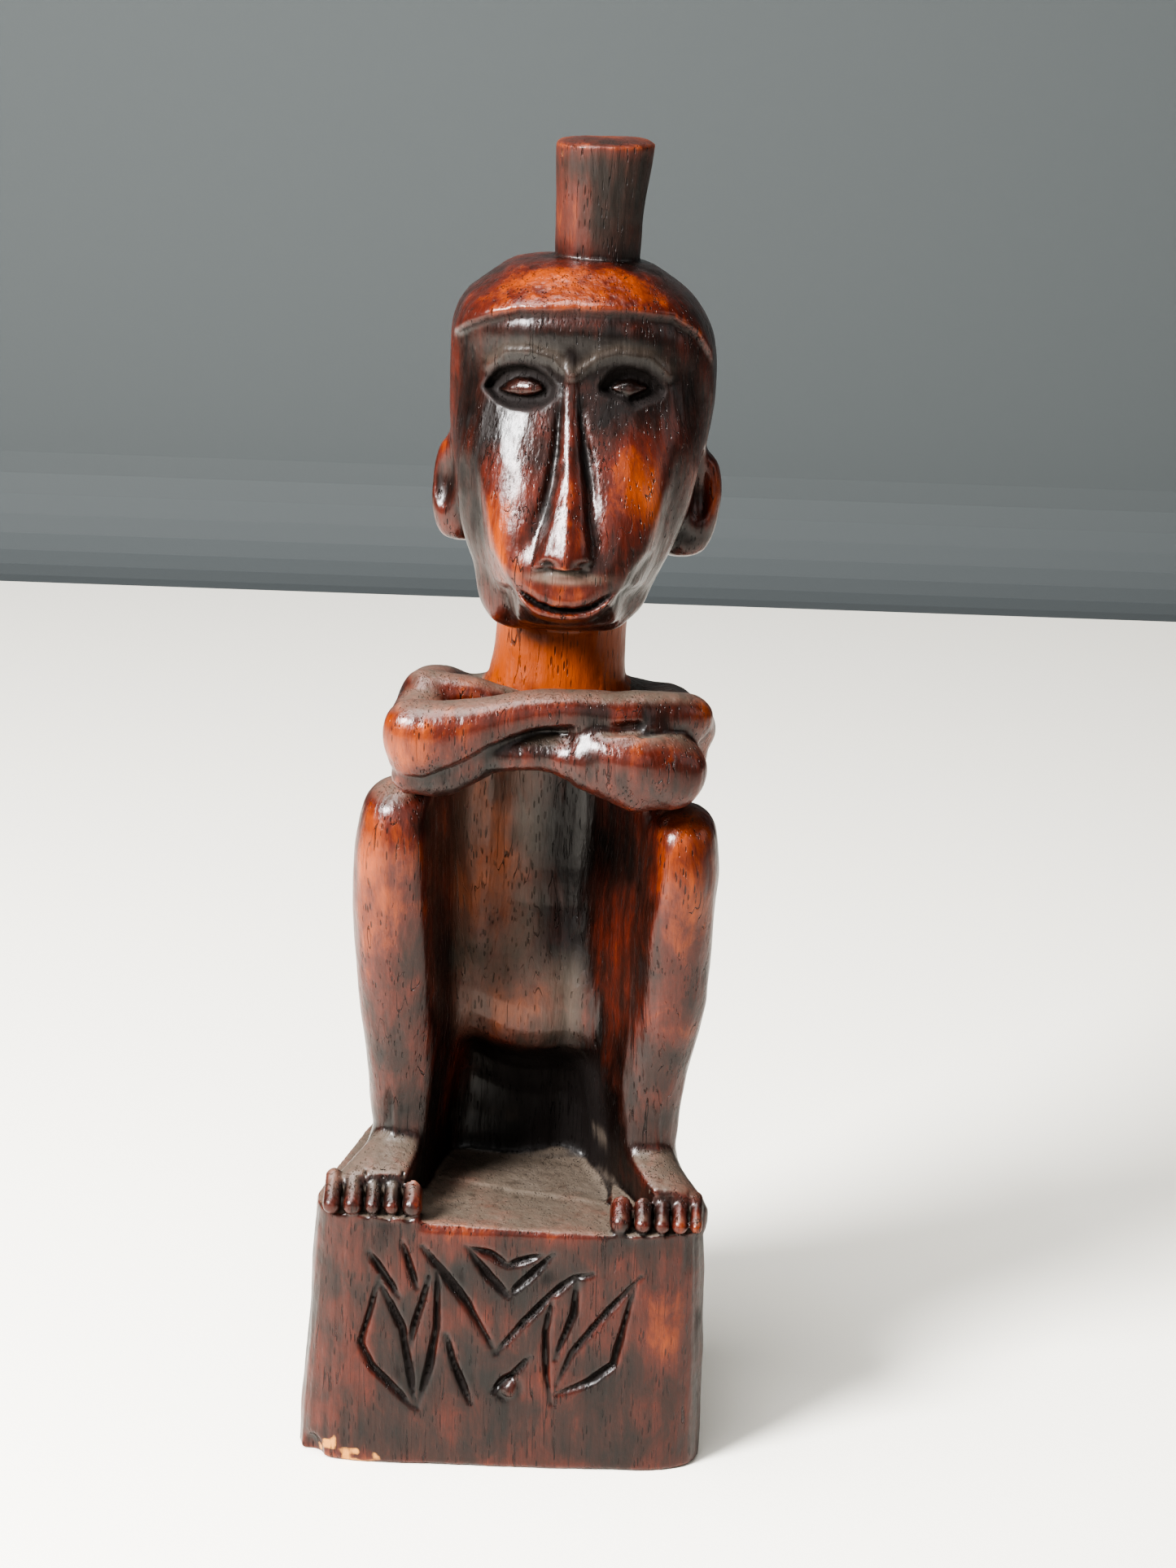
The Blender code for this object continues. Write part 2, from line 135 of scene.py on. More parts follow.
class Block:
    """Wood on a grid: each cell holds its distance to the surface, negative inside."""

    def __init__(self, low, high, cell):
        self.cell = cell
        self.first = np.floor(np.array(low) / cell).astype(int)
        shape = np.ceil(np.array(high) / cell).astype(int) - self.first + 1
        self.depth = np.full(shape, BAND, np.float32)
        self.closest = np.full(shape, BAND, np.float32)
        self.owner = np.zeros(shape, np.int8)

    def window(self, low, high):
        """The cells of a box as slices, and their x, y and z, ready to broadcast."""
        start = np.clip(np.floor(np.array(low) / self.cell).astype(int) - self.first, 0, None)
        stop = np.ceil(np.array(high) / self.cell).astype(int) - self.first + 1
        stop = np.minimum(stop, self.depth.shape)
        slices = tuple(slice(a, b) for a, b in zip(start, stop))
        x, y, z = (
            ((np.arange(a, b) + f) * self.cell).astype(np.float32)
            for a, b, f in zip(start, stop, self.first)
        )
        return slices, (x[:, None, None], y[None, :, None], z[None, None, :])

    def join(self, solid, number, round_mm):
        """Adds a closed mesh, and remembers which solid each cell lies closest to."""
        points, triangles = mesh_arrays(solid)
        transform = openvdb.createLinearTransform(voxelSize=self.cell)
        grid = openvdb.FloatGrid.createLevelSetFromPolygons(
            points, triangles=triangles, transform=transform, halfWidth=BAND / self.cell
        )
        cells, _ = self.window(points.min(0) - BAND, points.max(0) + BAND)
        found = np.zeros([s.stop - s.start for s in cells], np.float32)
        corner = [int(f + s.start) for f, s in zip(self.first, cells)]
        grid.copyToArray(found, ijk=tuple(corner))
        nearer = found < self.closest[cells]
        self.owner[cells][nearer] = number
        self.closest[cells] = np.minimum(self.closest[cells], found)
        self.depth[cells] = soft_min(self.depth[cells], found, round_mm)

    def soften(self, low_z, reach):
        """Rounds the block above a height, with the change spread over 4 mm."""
        cells, (_, _, z) = self.window((-999, -999, low_z), (999, 999, 999))
        part = self.depth[cells]
        size = max(1, round(reach / self.cell / 2))
        softer = box_blur(box_blur(part, size), size)
        self.depth[cells] = part + (softer - part) * ramp(z, low_z, low_z + 4)

    def rise(self, low, high, amount):
        """Lifts the skin in a box by amount(x, y, z) mm, or sinks it where that is negative."""
        cells, place = self.window(low, high)
        self.depth[cells] -= np.clip(amount(*place), 1 - BAND, BAND - 1)

    def cut(self, low, high, tool, round_mm=0.5):
        """Takes away what lies inside tool(x, y, z)."""
        cells, place = self.window(low, high)
        self.depth[cells] = soft_max(self.depth[cells], -tool(*place), round_mm)

    def add(self, low, high, mass, round_mm=1.5, number=None):
        """Joins on what lies inside mass(x, y, z), as part of a numbered solid if one is given."""
        cells, place = self.window(low, high)
        found = mass(*place)
        if number is not None:
            self.owner[cells][found < self.depth[cells] + 1] = number
        self.depth[cells] = soft_min(self.depth[cells], found, round_mm)

    def gouge(self, points, radii, round_mm=0.5):
        """Cuts a groove along a line of (x, y, z) points, with a radius at each."""
        ends = np.array(points, float)
        margin = max(radii) + 1
        self.cut(ends.min(0) - margin, ends.max(0) + margin, strand(points, radii), round_mm)

    def skin(self):
        """Points in millimetres and four-sided faces of the surface."""
        grid = openvdb.FloatGrid(BAND)
        grid.transform = openvdb.createLinearTransform(voxelSize=self.cell)
        grid.copyFromArray(self.depth, ijk=tuple(int(f) for f in self.first))
        points, triangles, quads = grid.convertToPolygons(isovalue=0.0, adaptivity=0.0)
        if len(triangles) or not len(quads):
            raise RuntimeError("the skin isn't all four-sided faces")
        return points.astype(np.float64), quads.astype(np.int64)

    def nearest(self, field, points):
        """The field's value at points, from the nearest cell."""
        at = np.rint(points / self.cell).astype(int) - self.first
        at = np.clip(at, 0, np.array(field.shape) - 1)
        return field[at[:, 0], at[:, 1], at[:, 2]]

    def look_up(self, field, points):
        """The field's value at points, blended from the eight cells round each."""
        at = points / self.cell - self.first
        corner = np.clip(np.floor(at).astype(int), 0, np.array(field.shape) - 2)
        t = at - corner
        total = np.zeros(len(points))
        for step in np.ndindex(2, 2, 2):
            i, j, k = (corner + step).T
            total += np.prod(np.where(step, t, 1 - t), axis=1) * field[i, j, k]
        return total


# --- Tool shapes ----------------------------------------------------------------------


def strand(points, radii):
    """Distance to a tapering rod through (x, y, z) points."""

    def distance(x, y, z):
        best = None
        for (a, b), (ra, rb) in zip(zip(points, points[1:]), zip(radii, radii[1:])):
            along = [q - p for p, q in zip(a, b)]
            length = sum(s * s for s in along)
            t = ((x - a[0]) * along[0] + (y - a[1]) * along[1] + (z - a[2]) * along[2]) / length
            t = np.clip(t, 0, 1)
            off = [c - p - t * s for c, p, s in zip((x, y, z), a, along)]
            found = np.sqrt(off[0] ** 2 + off[1] ** 2 + off[2] ** 2) - (ra + (rb - ra) * t)
            best = found if best is None else np.minimum(best, found)
        return best

    return distance


def egg(centre, radii):
    """Distance, near enough, to an ellipsoid."""

    def distance(x, y, z):
        scaled = [(c - m) / r for c, m, r in zip((x, y, z), centre, radii)]
        return (np.sqrt(scaled[0] ** 2 + scaled[1] ** 2 + scaled[2] ** 2) - 1) * min(radii)

    return distance


def line_gap(x, z, points):
    """Distance to a drawn line, and how far along the line that is, from 0 to 1."""
    best = None
    lengths = [math.dist(a, b) for a, b in zip(points, points[1:])]
    whole, done = sum(lengths), 0.0
    for a, b, length in zip(points, points[1:], lengths):
        sx, sz = b[0] - a[0], b[1] - a[1]
        t = np.clip(((x - a[0]) * sx + (z - a[1]) * sz) / length**2, 0, 1)
        gap = np.hypot(x - a[0] - t * sx, z - a[1] - t * sz)
        along = (done + t * length) / whole
        if best is None:
            best, where = gap, along
        else:
            where = np.where(gap < best, along, where)
            best = np.minimum(best, gap)
        done += length
    return best, where


def outline_gap(x, z, points):
    """Signed distance to a closed outline, negative inside."""
    closed = [*points, points[0]]
    gap, _ = line_gap(x, z, closed)
    inside = np.zeros(gap.shape, bool)
    for (ax, az), (bx, bz) in zip(closed, closed[1:]):
        if az == bz:
            continue
        crosses = ((az > z) != (bz > z)) & (x < (bx - ax) * (z - az) / (bz - az) + ax)
        inside ^= crosses
    return np.where(inside, -gap, gap)


def between(value, pairs):
    """A value read off a list of (position, value) pairs."""
    pairs = sorted(pairs)
    return np.interp(value, [p for p, _ in pairs], [v for _, v in pairs]).astype(np.float32)


def hill(value, centre, width):
    return np.exp(-(((value - centre) / width) ** 2))


# --- Face -----------------------------------------------------------------------------

BROW = [(-24, 280), (-19, 284.5), (-15, 287.8), (-10, 290.5), (-3, 292.6), (10, 293.3), (24, 293),
        (33, 291.5), (39, 287.5), (42.5, 282), (45, 274), (48, 266)]
EYES = {
    "right": {
        "socket": [(-11, 272.6), (-9.8, 275), (-7.5, 277.3), (-4.5, 278.6), (-1.5, 279), (1.5, 278.3),
                   (4, 276.8), (6, 274.3), (5.5, 271.6), (3, 269.6), (0, 268.9), (-4.5, 269), (-8, 270.1)],
        "ball": [(-7.7, 272.2), (-5.5, 274.3), (-3, 275.6), (0.2, 275.7), (2.6, 274.8), (3.8, 273.3),
                 (1.5, 271.8), (-2, 271.2), (-5.3, 271.3)],
        "lid": [(-10, 278), (-6, 281.7), (-0.5, 282.3), (5.5, 280.8), (9.5, 277)],
    },
    "left": {
        "socket": [(16, 274.9), (18, 277.6), (19.7, 279.2), (23.5, 279.4), (27.5, 278.2),
                   (30, 276), (32, 273.8), (31.5, 272.2), (28, 271.2), (24.5, 269.9),
                   (22, 271.8), (19, 272.3), (16.5, 273.4)],
        "ball": [(18.6, 274.2), (20.9, 275.8), (23.6, 276.3), (26.2, 275.4), (28.4, 274.1),
                 (26.3, 272.9), (23.7, 271.8), (20.6, 272.8)],
        "lid": [(10.5, 277), (15.8, 281.2), (20.5, 282.5), (28.2, 281.5), (33, 277.2)],
    },
}
NOSE_CREST = [(281.5, 9.3), (276, 9.4), (270, 9.7), (259, 9.9), (248, 10.2), (241, 10.0), (232, 9.6)]
NOSE_RIGHT = [(282, 1.5), (266, 2.2), (259, 2.6), (252, 3.4), (244.5, 5.2), (237, 7), (232, 8)]
NOSE_LEFT = [(282, 1.5), (266, 2.1), (259, 3.1), (252, 3.9), (245, 4.4), (238, 5.8), (232, 6.8)]
NOSE_HEIGHT = [(284, 0), (281, 0.5), (275, 0.9), (269, 1.5), (259, 2.3), (250, 3), (241, 3.8), (234, 4.2)]
MOUTH = [(-3.5, 230), (-0.5, 227.3), (3.4, 225), (7.3, 223.8), (12, 223.6), (16, 224.5), (19, 226.4),
         (22.5, 228.8)]
LOWER_LIP = [*MOUTH, (20.7, 225.5), (18, 222.6), (15, 221.2), (9.5, 220.8), (5, 221.4), (2.5, 222.2),
             (-0.5, 225)]
RIGHT_CHEEK = [(262, -14), (257, -11.5), (250, -10), (243, -8.5), (236, -6.8), (231, -3.5), (227, -1)]
LEFT_CHEEK = [(262, 35), (259, 33.5), (251.5, 32.5), (244, 30.5), (237, 28.5), (232, 24.5), (227, 22)]


def face_rise(x, y, z, sizes):
    """How far the finished face stands off the blocked-out head."""
    # The brow is a crease: the cap comes down to it, and the flat below leans in.
    below = np.interp(x, *zip(*BROW)).astype(np.float32) - z
    rise = 0.4 * hill(below, -0.5, 1.8) - 2.0 * ramp(below, -0.3, 2.8) * ramp(-below, -32, -9)
    rise = rise * ramp(x, -26, -12) * ramp(-x, -48, -34)
    # Cheeks swell below the eyes.
    rise = rise + 0.8 * hill(x, -3, 7) * hill(z, 252, 12) + 0.8 * hill(x, 23, 7) * hill(z, 252, 12)
    # Jaw planes fall away outside the cheek edges.
    outside = np.maximum(between(z, RIGHT_CHEEK) - x, x - between(z, LEFT_CHEEK))
    jaw = ramp(-z, -262, -242) * ramp(z, 214, 224)
    rise = rise - 2.6 * ramp(outside, -0.6, 3.0) * ramp(-y, 9, 19) * jaw
    rise = rise + 1.6 * ramp(-x, -2, 10) * hill(z, 234, 13) * (1 - ramp(-y, 9, 19))
    # Nose, a long ridge that widens to a flat cut.
    across = x - between(z, NOSE_CREST)
    half = np.where(across < 0, between(z, NOSE_RIGHT), between(z, NOSE_LEFT))
    share = np.abs(across) / half
    height = between(z, NOSE_HEIGHT) * sizes.nose_height / 0.004
    ridge = np.interp(share, (0, 0.12, 0.78, 1.08), (1, 0.96, 0.6, 0)).astype(np.float32)
    valley = 1.1 * hill(share, 1.3, 0.4) * ramp(z, 233, 240) * ramp(-z, -274, -262)
    cut = ramp(z, 233.2, 234.4)
    rise = rise + height * ridge * cut - valley
    for side in (-1, 1):  # nostrils and the drawn-in end of the valley
        spot = np.hypot((x - 9.8 - side * 4.2) / 2.0, (z - 234.6) / 1.2)
        rise = rise - 2.6 * np.exp(-(spot**2))
    # Lips.
    gap, along = line_gap(x, z, MOUTH)
    middle = np.sin(np.pi * np.clip(along, 0.02, 0.98))
    above = ramp(z - between(x, MOUTH), -0.4, 0.6)
    rise = rise + 1.1 * hill(gap, 2.2, 2.0) * middle * above
    lip = outline_gap(x, z, LOWER_LIP)
    rise = rise + 1.5 * ramp(-lip, -0.2, 0.9)
    chin = ramp(lip, 0.0, 1.3) * (1 - above) * ramp(x, -8, -3) * ramp(-x, -30, -24)
    rise = rise - 1.5 * chin * ramp(z, 213, 219) * ramp(-z, -229, -226)
    rise = rise - 1.9 * np.clip(1 - gap / 0.9, 0, 1) * middle
    # Eyes: a sunk almond with a ball left in it, and a raised fold above.
    for eye in EYES.values():
        socket = outline_gap(x, z, eye["socket"])
        ball = np.clip(-outline_gap(x, z, eye["ball"]) / 2.2, 0, 1)
        depth = sizes.eye_depth / MM
        rise = rise - depth * ramp(-socket, -0.3, 1.0)
        rise = rise + (depth - 0.8) * np.sqrt(1 - (1 - ball) ** 2)
        fold, _ = line_gap(x, z, eye["lid"])
        rise = rise + 0.55 * hill(fold, 0, 0.9) - 0.25 * hill(fold, 2.2, 0.9) * ramp(-socket, -3, 0)
    return rise * ramp(-y, 0, 4)


# --- Leaves cut into the plinth's front -------------------------------------------------

LEAVES = [
    [(-31, 52), (-35.5, 33.5), (-32.5, 27), (-22, 16.5)],
    [(-33.5, 58.5), (-26, 47)],
    [(-31, 51), (-25, 38), (-21.5, 16.5)],
    [(-25.5, 62), (-23.5, 55.5), (-21.5, 49.5)],
    [(-18.5, 52.5), (-22, 38.5), (-23.5, 31.5)],
    [(-16.5, 54), (-16.5, 38.5), (-18, 28), (-21, 16)],
    [(-20.5, 61), (-9, 46), (-1.5, 32.5)],
    [(-14, 37), (-11.5, 27.5), (-7.5, 18)],
    [(-9.5, 61.5), (-4.5, 54.5), (1.5, 48)],
    [(-9, 61), (-3, 59.5), (1, 56.5)],
    [(1, 56.5), (5, 58), (9.5, 59.5)],
    [(12.5, 60), (6.5, 53.5), (1.5, 48.5)],
    [(-1.5, 32), (5.5, 41), (12.5, 49), (17.5, 53.5), (22.5, 55)],
    [(7.5, 31.5), (2.5, 25.5), (-2, 21.5)],
    [(12.5, 48.5), (11, 38), (11.5, 26.5), (13, 18.5)],
    [(18.5, 53), (18, 43.5), (13.5, 31)],
    [(34.5, 54.5), (25.5, 43.5), (18, 33), (14, 23.5)],
    [(33, 51.5), (30.5, 40.5), (28.5, 30), (22.5, 25), (13.5, 21)],
]


def leaf_cut(x, z, sizes):
    """Depth of the leaf strokes: V cuts that run out at both ends."""
    deepest = np.zeros(np.broadcast(x, z).shape, np.float32)
    for stroke in LEAVES:
        gap, along = line_gap(x, z, stroke)
        swell = np.sin(np.pi * np.clip(along, 0.04, 0.96)) ** 0.4
        half = sizes.leaf_width / MM / 2 * (0.45 + 0.55 * swell)
        deepest = np.maximum(deepest, sizes.leaf_depth / MM * swell * np.clip(1 - gap / half, 0, 1))
    return deepest


# --- Torso: where its front stands, its half width and the sides of its opening, by height ---

TRUNK_BACK, TRUNK_LOW, TRUNK_HIGH = 24, 63, 190
WEB_HALF = 3.5  # half the thickness of the wood left between torso and shin
TORSO_FRONT = [(60, 5), (72, 6.5), (84, 7.5), (91, 6.5), (95, 4), (98, 0), (101, -2.8), (106, -4.4),
               (112, -4.6), (118, -3.6), (124, -1.6), (131, 0.8), (138, 2.6), (148, 3.8), (160, 4), (175, 3),
               (190, 1.5)]
TRUNK_HALF = [(60, 29), (98, 29), (150, 26), (163, 24), (175, 22), (190, 17)]
RIGHT_WALL = [(66, -17), (82, -16), (96, -14.2), (109, -13.5), (129, -14), (163, -14.8), (182, -15)]
LEFT_WALL = [(66, 21), (82, 19.5), (97, 17.8), (112, 19), (140, 19), (162, 20.5), (182, 20.5)]

# --- Arms: the lower edge of the upper arm, (x, z) --------------------------------------------

BAR_EDGE = [(-36, 188), (-33.5, 186), (-28, 183.6), (-22.3, 183.3), (-14.6, 187), (-7, 191.8), (2.5, 195.6),
            (12, 197)]

# --- Toes -------------------------------------------------------------------------------

TOE_EDGES = {
    "right": (-45.8, -40.7, -35.3, -30.7, -26.0, -20.4),
    "left": (25.7, 31.8, 36.9, 41.4, 45.9, 49.6),
}
TOE_FLOOR = {"right": 68.4, "left": 65.8}  # the plinth's top under each set of toes

# --- Painted light and shade, with some worn polish and dirt: dabs at (x, y, z), reach and how much lighter ---

LIGHT_SHADE_AND_PATINA_DABS = [
    # head: painted light on the brow cap, cheeks, nose ridge and ears, painted shade under the brow, round
    # the eyes and under the lower lip; a worn rim on the topknot
    ((8, -12, 298), (24, 12, 6), 0.34),
    ((10, -20, 283), (26, 10, 5), -0.42),
    ((-2, -20, 275), (13, 8, 8), -0.34),
    ((24, -20, 275), (12, 8, 8), -0.30),
    ((16, 0, 312), (6, 8, 14), -0.30),
    ((15, 10, 328), (14, 14, 3), 0.30),
    ((7, 0, 314), (3, 8, 12), 0.16),
    ((-15, -12, 280), (6, 10, 14), -0.12),
    ((-5, -19, 264), (8, 8, 4.5), -0.26),
    ((18, -20, 266), (5, 8, 7), -0.14),
    ((25, -22, 252), (9, 9, 12), 0.36),
    ((-5, -24, 244), (8, 9, 14), 0.32),
    ((10, -36, 248), (4, 8, 14), 0.26),
    ((9, -34, 229), (11, 6, 3.4), 0.26),
    ((9, -30, 218), (16, 12, 4), -0.22),
    ((-14, -18, 235), (6, 12, 14), -0.10),
    ((35, -14, 235), (6, 12, 14), -0.12),
    ((-2, -20, 273.5), (5, 8, 2.5), 0.12),
    ((23.5, -20, 274), (5, 8, 2.5), 0.2),
    ((-22, -4, 248), (4, 8, 9), 0.22),
    ((42, -4, 247), (4, 8, 9), 0.16),
    # arms: painted highlights on the elbows, the lobe and the strap's end, painted shade under the bar
    ((-31, -38, 189), (10, 8, 8), 0.36),
    ((-15, -38, 194), (9, 6, 5), 0.20),
    ((6, -37, 199), (12, 6, 4), 0.02),
    ((28, -37, 192), (12, 6, 5), 0.26),
    ((44, -26, 192), (4, 8, 9), 0.40),
    ((-20, -36, 181), (14, 8, 4), -0.22),
    # legs: painted highlights on the knees; darker towards the feet
    ((-34, -30, 160), (10, 8, 14), 0.46),
    ((-34, -32, 138), (7, 8, 16), 0.22),
    ((-32, -28, 104), (10, 10, 22), -0.18),
    ((43, -26, 158), (7, 10, 14), 0.34),
    ((40, -28, 132), (6, 8, 20), 0.20),
    ((38, -28, 100), (10, 10, 16), -0.14),
    ((-34, -20, 76), (20, 30, 6), -0.16),
    ((38, -20, 76), (20, 30, 6), -0.16),
    # torso: painted light on the chest's left side and the belly, painted shadow on the chest's right side,
    # painted shade under the belly, painted light on the left hip below it
    ((-8, 2, 150), (9, 14, 30), 0.62),
    ((2, -4, 112), (16, 9, 10), 0.50),
    ((13, 2, 152), (7, 14, 26), -0.36),
    ((6, 4, 83), (26, 20, 13), -0.70),
    ((-16, 2, 88), (6, 12, 15), 0.62),
    # plinth
    ((43, -38, 38), (6, 10, 22), 0.30),
    ((-30, -38, 62), (12, 8, 6), 0.12),
    ((-44, -30, 10), (6, 10, 10), 0.22),
    ((0, -38, 8), (40, 10, 7), -0.10),
]


# --- Skin -------------------------------------------------------------------------------


def tumbled(points, size, seed):
    """Smooth noise from -1 to 1 with lumps of about size mm; size may differ by axis."""
    lattice = np.random.default_rng(seed).uniform(-1, 1, (32, 32, 32))
    at = points / np.array(size) + 1000
    cell = np.floor(at).astype(int)
    t = at - cell
    t = t * t * (3 - 2 * t)
    total = np.zeros(len(points))
    for corner in range(8):
        bits = np.array([corner & 1, corner >> 1 & 1, corner >> 2 & 1])
        weight = np.prod(np.where(bits, t, 1 - t), axis=1)
        index = (cell + bits) % 32
        total += weight * lattice[index[:, 0], index[:, 1], index[:, 2]]
    return total


def gathered(faces, values, count):
    """Sum of per-face vectors at each point."""
    index = faces.ravel()
    return np.stack(
        [np.bincount(index, np.repeat(values[:, k], faces.shape[1]), count) for k in range(3)], axis=1
    )


def eased(points, faces, passes, share):
    """Points moved towards the middle of the faces round them."""
    used = np.bincount(faces.ravel(), minlength=len(points))[:, None]
    for _ in range(passes):
        middles = points[faces].mean(1)
        points = points + share * (gathered(faces, middles, len(points)) / used - points)
    return points


def point_normals(points, faces):
    corners = points[faces]
    outward = np.cross(corners[:, 2] - corners[:, 0], corners[:, 3] - corners[:, 1])
    normals = gathered(faces, outward, len(points))
    return normals / np.maximum(np.linalg.norm(normals, axis=1, keepdims=True), 1e-12)


def shelled(points, faces, normals, thick=SHELL):
    """A closed shell: the skin, the same skin thick mm further in, and the rim between them."""
    starts = faces.ravel()
    ends = np.roll(faces, -1, axis=1).ravel()
    count = len(points)
    keys = np.minimum(starts, ends) * count + np.maximum(starts, ends)
    _, first, uses = np.unique(keys, return_index=True, return_counts=True)
    a, b = starts[first[uses == 1]], ends[first[uses == 1]]
    rim = np.stack([b, a, a + count, b + count], axis=1)
    inner = faces[:, ::-1] + count
    return np.concatenate([points, points - thick * normals]), np.concatenate([faces, inner, rim])


def new_mesh(name, points, quads, normals, marks):
    """A mesh object from arrays, with point marks that the finish reads."""
    mesh = bpy.data.meshes.new(name)
    mesh.vertices.add(len(points))
    mesh.vertices.foreach_set("co", (points * MM).astype(np.float32).ravel())
    corners = quads.ravel().astype(np.int32)
    mesh.loops.add(len(corners))
    mesh.loops.foreach_set("vertex_index", corners)
    starts = (np.arange(len(quads)) * 4).astype(np.int32)
    mesh.polygons.add(len(starts))
    mesh.polygons.foreach_set("loop_start", starts)
    mesh.polygons.foreach_set("use_smooth", np.ones(len(starts), bool))
    mesh.update()
    if mesh.validate():
        raise RuntimeError(f"{name} has faces that don't fit together")
    for mark, values in marks.items():
        layer = mesh.attributes.new(mark, "FLOAT", "POINT")
        layer.data.foreach_set("value", values.astype(np.float32))
    mesh.normals_split_custom_set_from_vertices(normals.astype(np.float32))
    piece = bpy.data.objects.new(name, mesh)
    bpy.context.scene.collection.objects.link(piece)
    return piece


def patina_marks(points, normals):
    """What the finish needs at each point: how hollow, light, dusty, raw or dark it is. The light and dark
    marks carry painted light and painted shade as well as wear and dirt.
    """
    solid = np.clip(0.5 - block.depth / block.cell, 0, 1)
    near = box_blur(box_blur(solid, round(0.8 / block.cell)), round(0.8 / block.cell))
    wide = box_blur(solid, round(5.0 / block.cell))
    deep = block.look_up(near, points) - 0.5
    # How enclosed each point is over 5 mm; the finish darkens wide recesses with it as painted shade.
    recess_shade = block.look_up(wide, points) - 0.5
    light = np.zeros(len(points))
    # The dabs paint light and shade on the wood, with some worn polish and dirt.
    for centre, reach, amount in LIGHT_SHADE_AND_PATINA_DABS:
        off = (points - np.array(centre)) / np.array(reach)
        light += amount * np.exp(-(off**2).sum(1))
    x, y, z = points.T
    up = normals[:, 2]
    dust = 0.4 * ramp(up, 0.6, 0.9) * ramp(-np.abs(z - 67), -4.5, -2.8)
    dust = np.maximum(dust, 0.34 * ramp(up, 0.35, 0.9) * ramp(z, 72, 77) * ramp(-z, -92, -86))
    dust = np.maximum(dust, 0.3 * ramp(up, 0.5, 0.95) * ramp(z, 170, 174) * ramp(-z, -208, -204))
    dust = np.maximum(dust, 0.3 * ramp(deep, 0.08, 0.2) * ramp(z, 66.5, 68) * ramp(-z, -82, -78))
    eye_fold = np.minimum(
        *[line_gap(x, z, [(px, pz + 1.2) for px, pz in EYES[side]["lid"]])[0] for side in EYES]
    )
    front = ramp(-y, 4, 8)
    dust = np.maximum(dust, 0.12 * hill(eye_fold, 0, 1.3) * front * ramp(z, 268, 272))
    under_nose = np.hypot((x - 10) / 9, (z - 231.6) / 1.5)
    dust = np.maximum(dust, 0.35 * hill(under_nose, 0.5, 0.5) * front)
    dust = np.maximum(dust, 0.04 * ramp(z, 303, 308))
    chest = ramp(-np.abs(z - 142), -44, -30) * ramp(y, -10, -2)
    chest = chest * ramp(-y, -12, -8) * ramp(-np.abs(x), -20, -14)
    dust = np.maximum(dust, 0.26 * chest * (1 - ramp(x, 0, 10) * ramp(z, 118, 130)))
    # A dark fill round the eyeballs, in the mouth and in the leaf cuts, and painted shade under the brow and
    # under the belly.
    dirt_and_shade = np.zeros(len(points))
    for eye in EYES.values():
        socket = ramp(-outline_gap(x, z, eye["socket"]), -1.4, -0.3)
        dirt_and_shade = np.maximum(dirt_and_shade, socket * ramp(outline_gap(x, z, eye["ball"]), -0.3, 0.5) * front)
    # Painted shade under the brow's edge, over a darker stain there.
    brow = hill(np.interp(x, *zip(*BROW)) - z, 1.8, 1.4) * front * ramp(x, -24, -16) * ramp(-x, -44, -36)
    dirt_and_shade = np.maximum(dirt_and_shade, 0.6 * brow)
    slit, along = line_gap(x, z, MOUTH)
    lips = ramp(along, 0.1, 0.4) * ramp(-along, -1, -0.85)
    dirt_and_shade = np.maximum(dirt_and_shade, ramp(-slit, -0.9, -0.3) * front * lips)
    strokes = leaf_cut(x, z, bpy.context.scene.carving_sizes)
    dirt_and_shade = np.maximum(dirt_and_shade, 0.45 * ramp(strokes, 0.4, 1.2) * ramp(-y, 30, 34))
    # Painted shade under the belly, where shade falls.
    belly = ramp(-np.abs(z - 83), -19, -11) * ramp(y, -14, -3) * ramp(-y, -12, -9)
    dirt_and_shade = np.maximum(dirt_and_shade, 0.8 * belly * ramp(x, -13, 2))
    raw = np.zeros(len(points))
    chip = np.minimum(np.hypot(x + 44, (z - 4) / 1.8), np.hypot((x + 37) / 2.2, z - 1))
    torn = 0.3 + 0.6 * tumbled(points, (2.6, 2.6, 1.7), 9)
    raw = np.maximum(raw, ramp(-chip, -4.5, -2.0) * ramp(-y, 18, 26) * torn)
    raw = np.maximum(raw, 0.25 * ramp(z, 321, 326) * ramp(tumbled(points, 3, 7), -0.5, 0.6))
    return {"deep": deep, "recess_shade": recess_shade, "light": light, "dust": dust, "raw": raw, "dirt_and_shade": dirt_and_shade}


# --- Finish -----------------------------------------------------------------------------


def add_node(tree, kind, settings=None, links=None):
    """A node with its settings and its input links."""
    node = tree.nodes.new(kind)
    for key, value in (settings or {}).items():
        if isinstance(key, int) or key in node.inputs:
            node.inputs[key].default_value = value
        else:
            setattr(node, key, value)
    for key, source in (links or {}).items():
        tree.links.new(source, node.inputs[key])
    return node


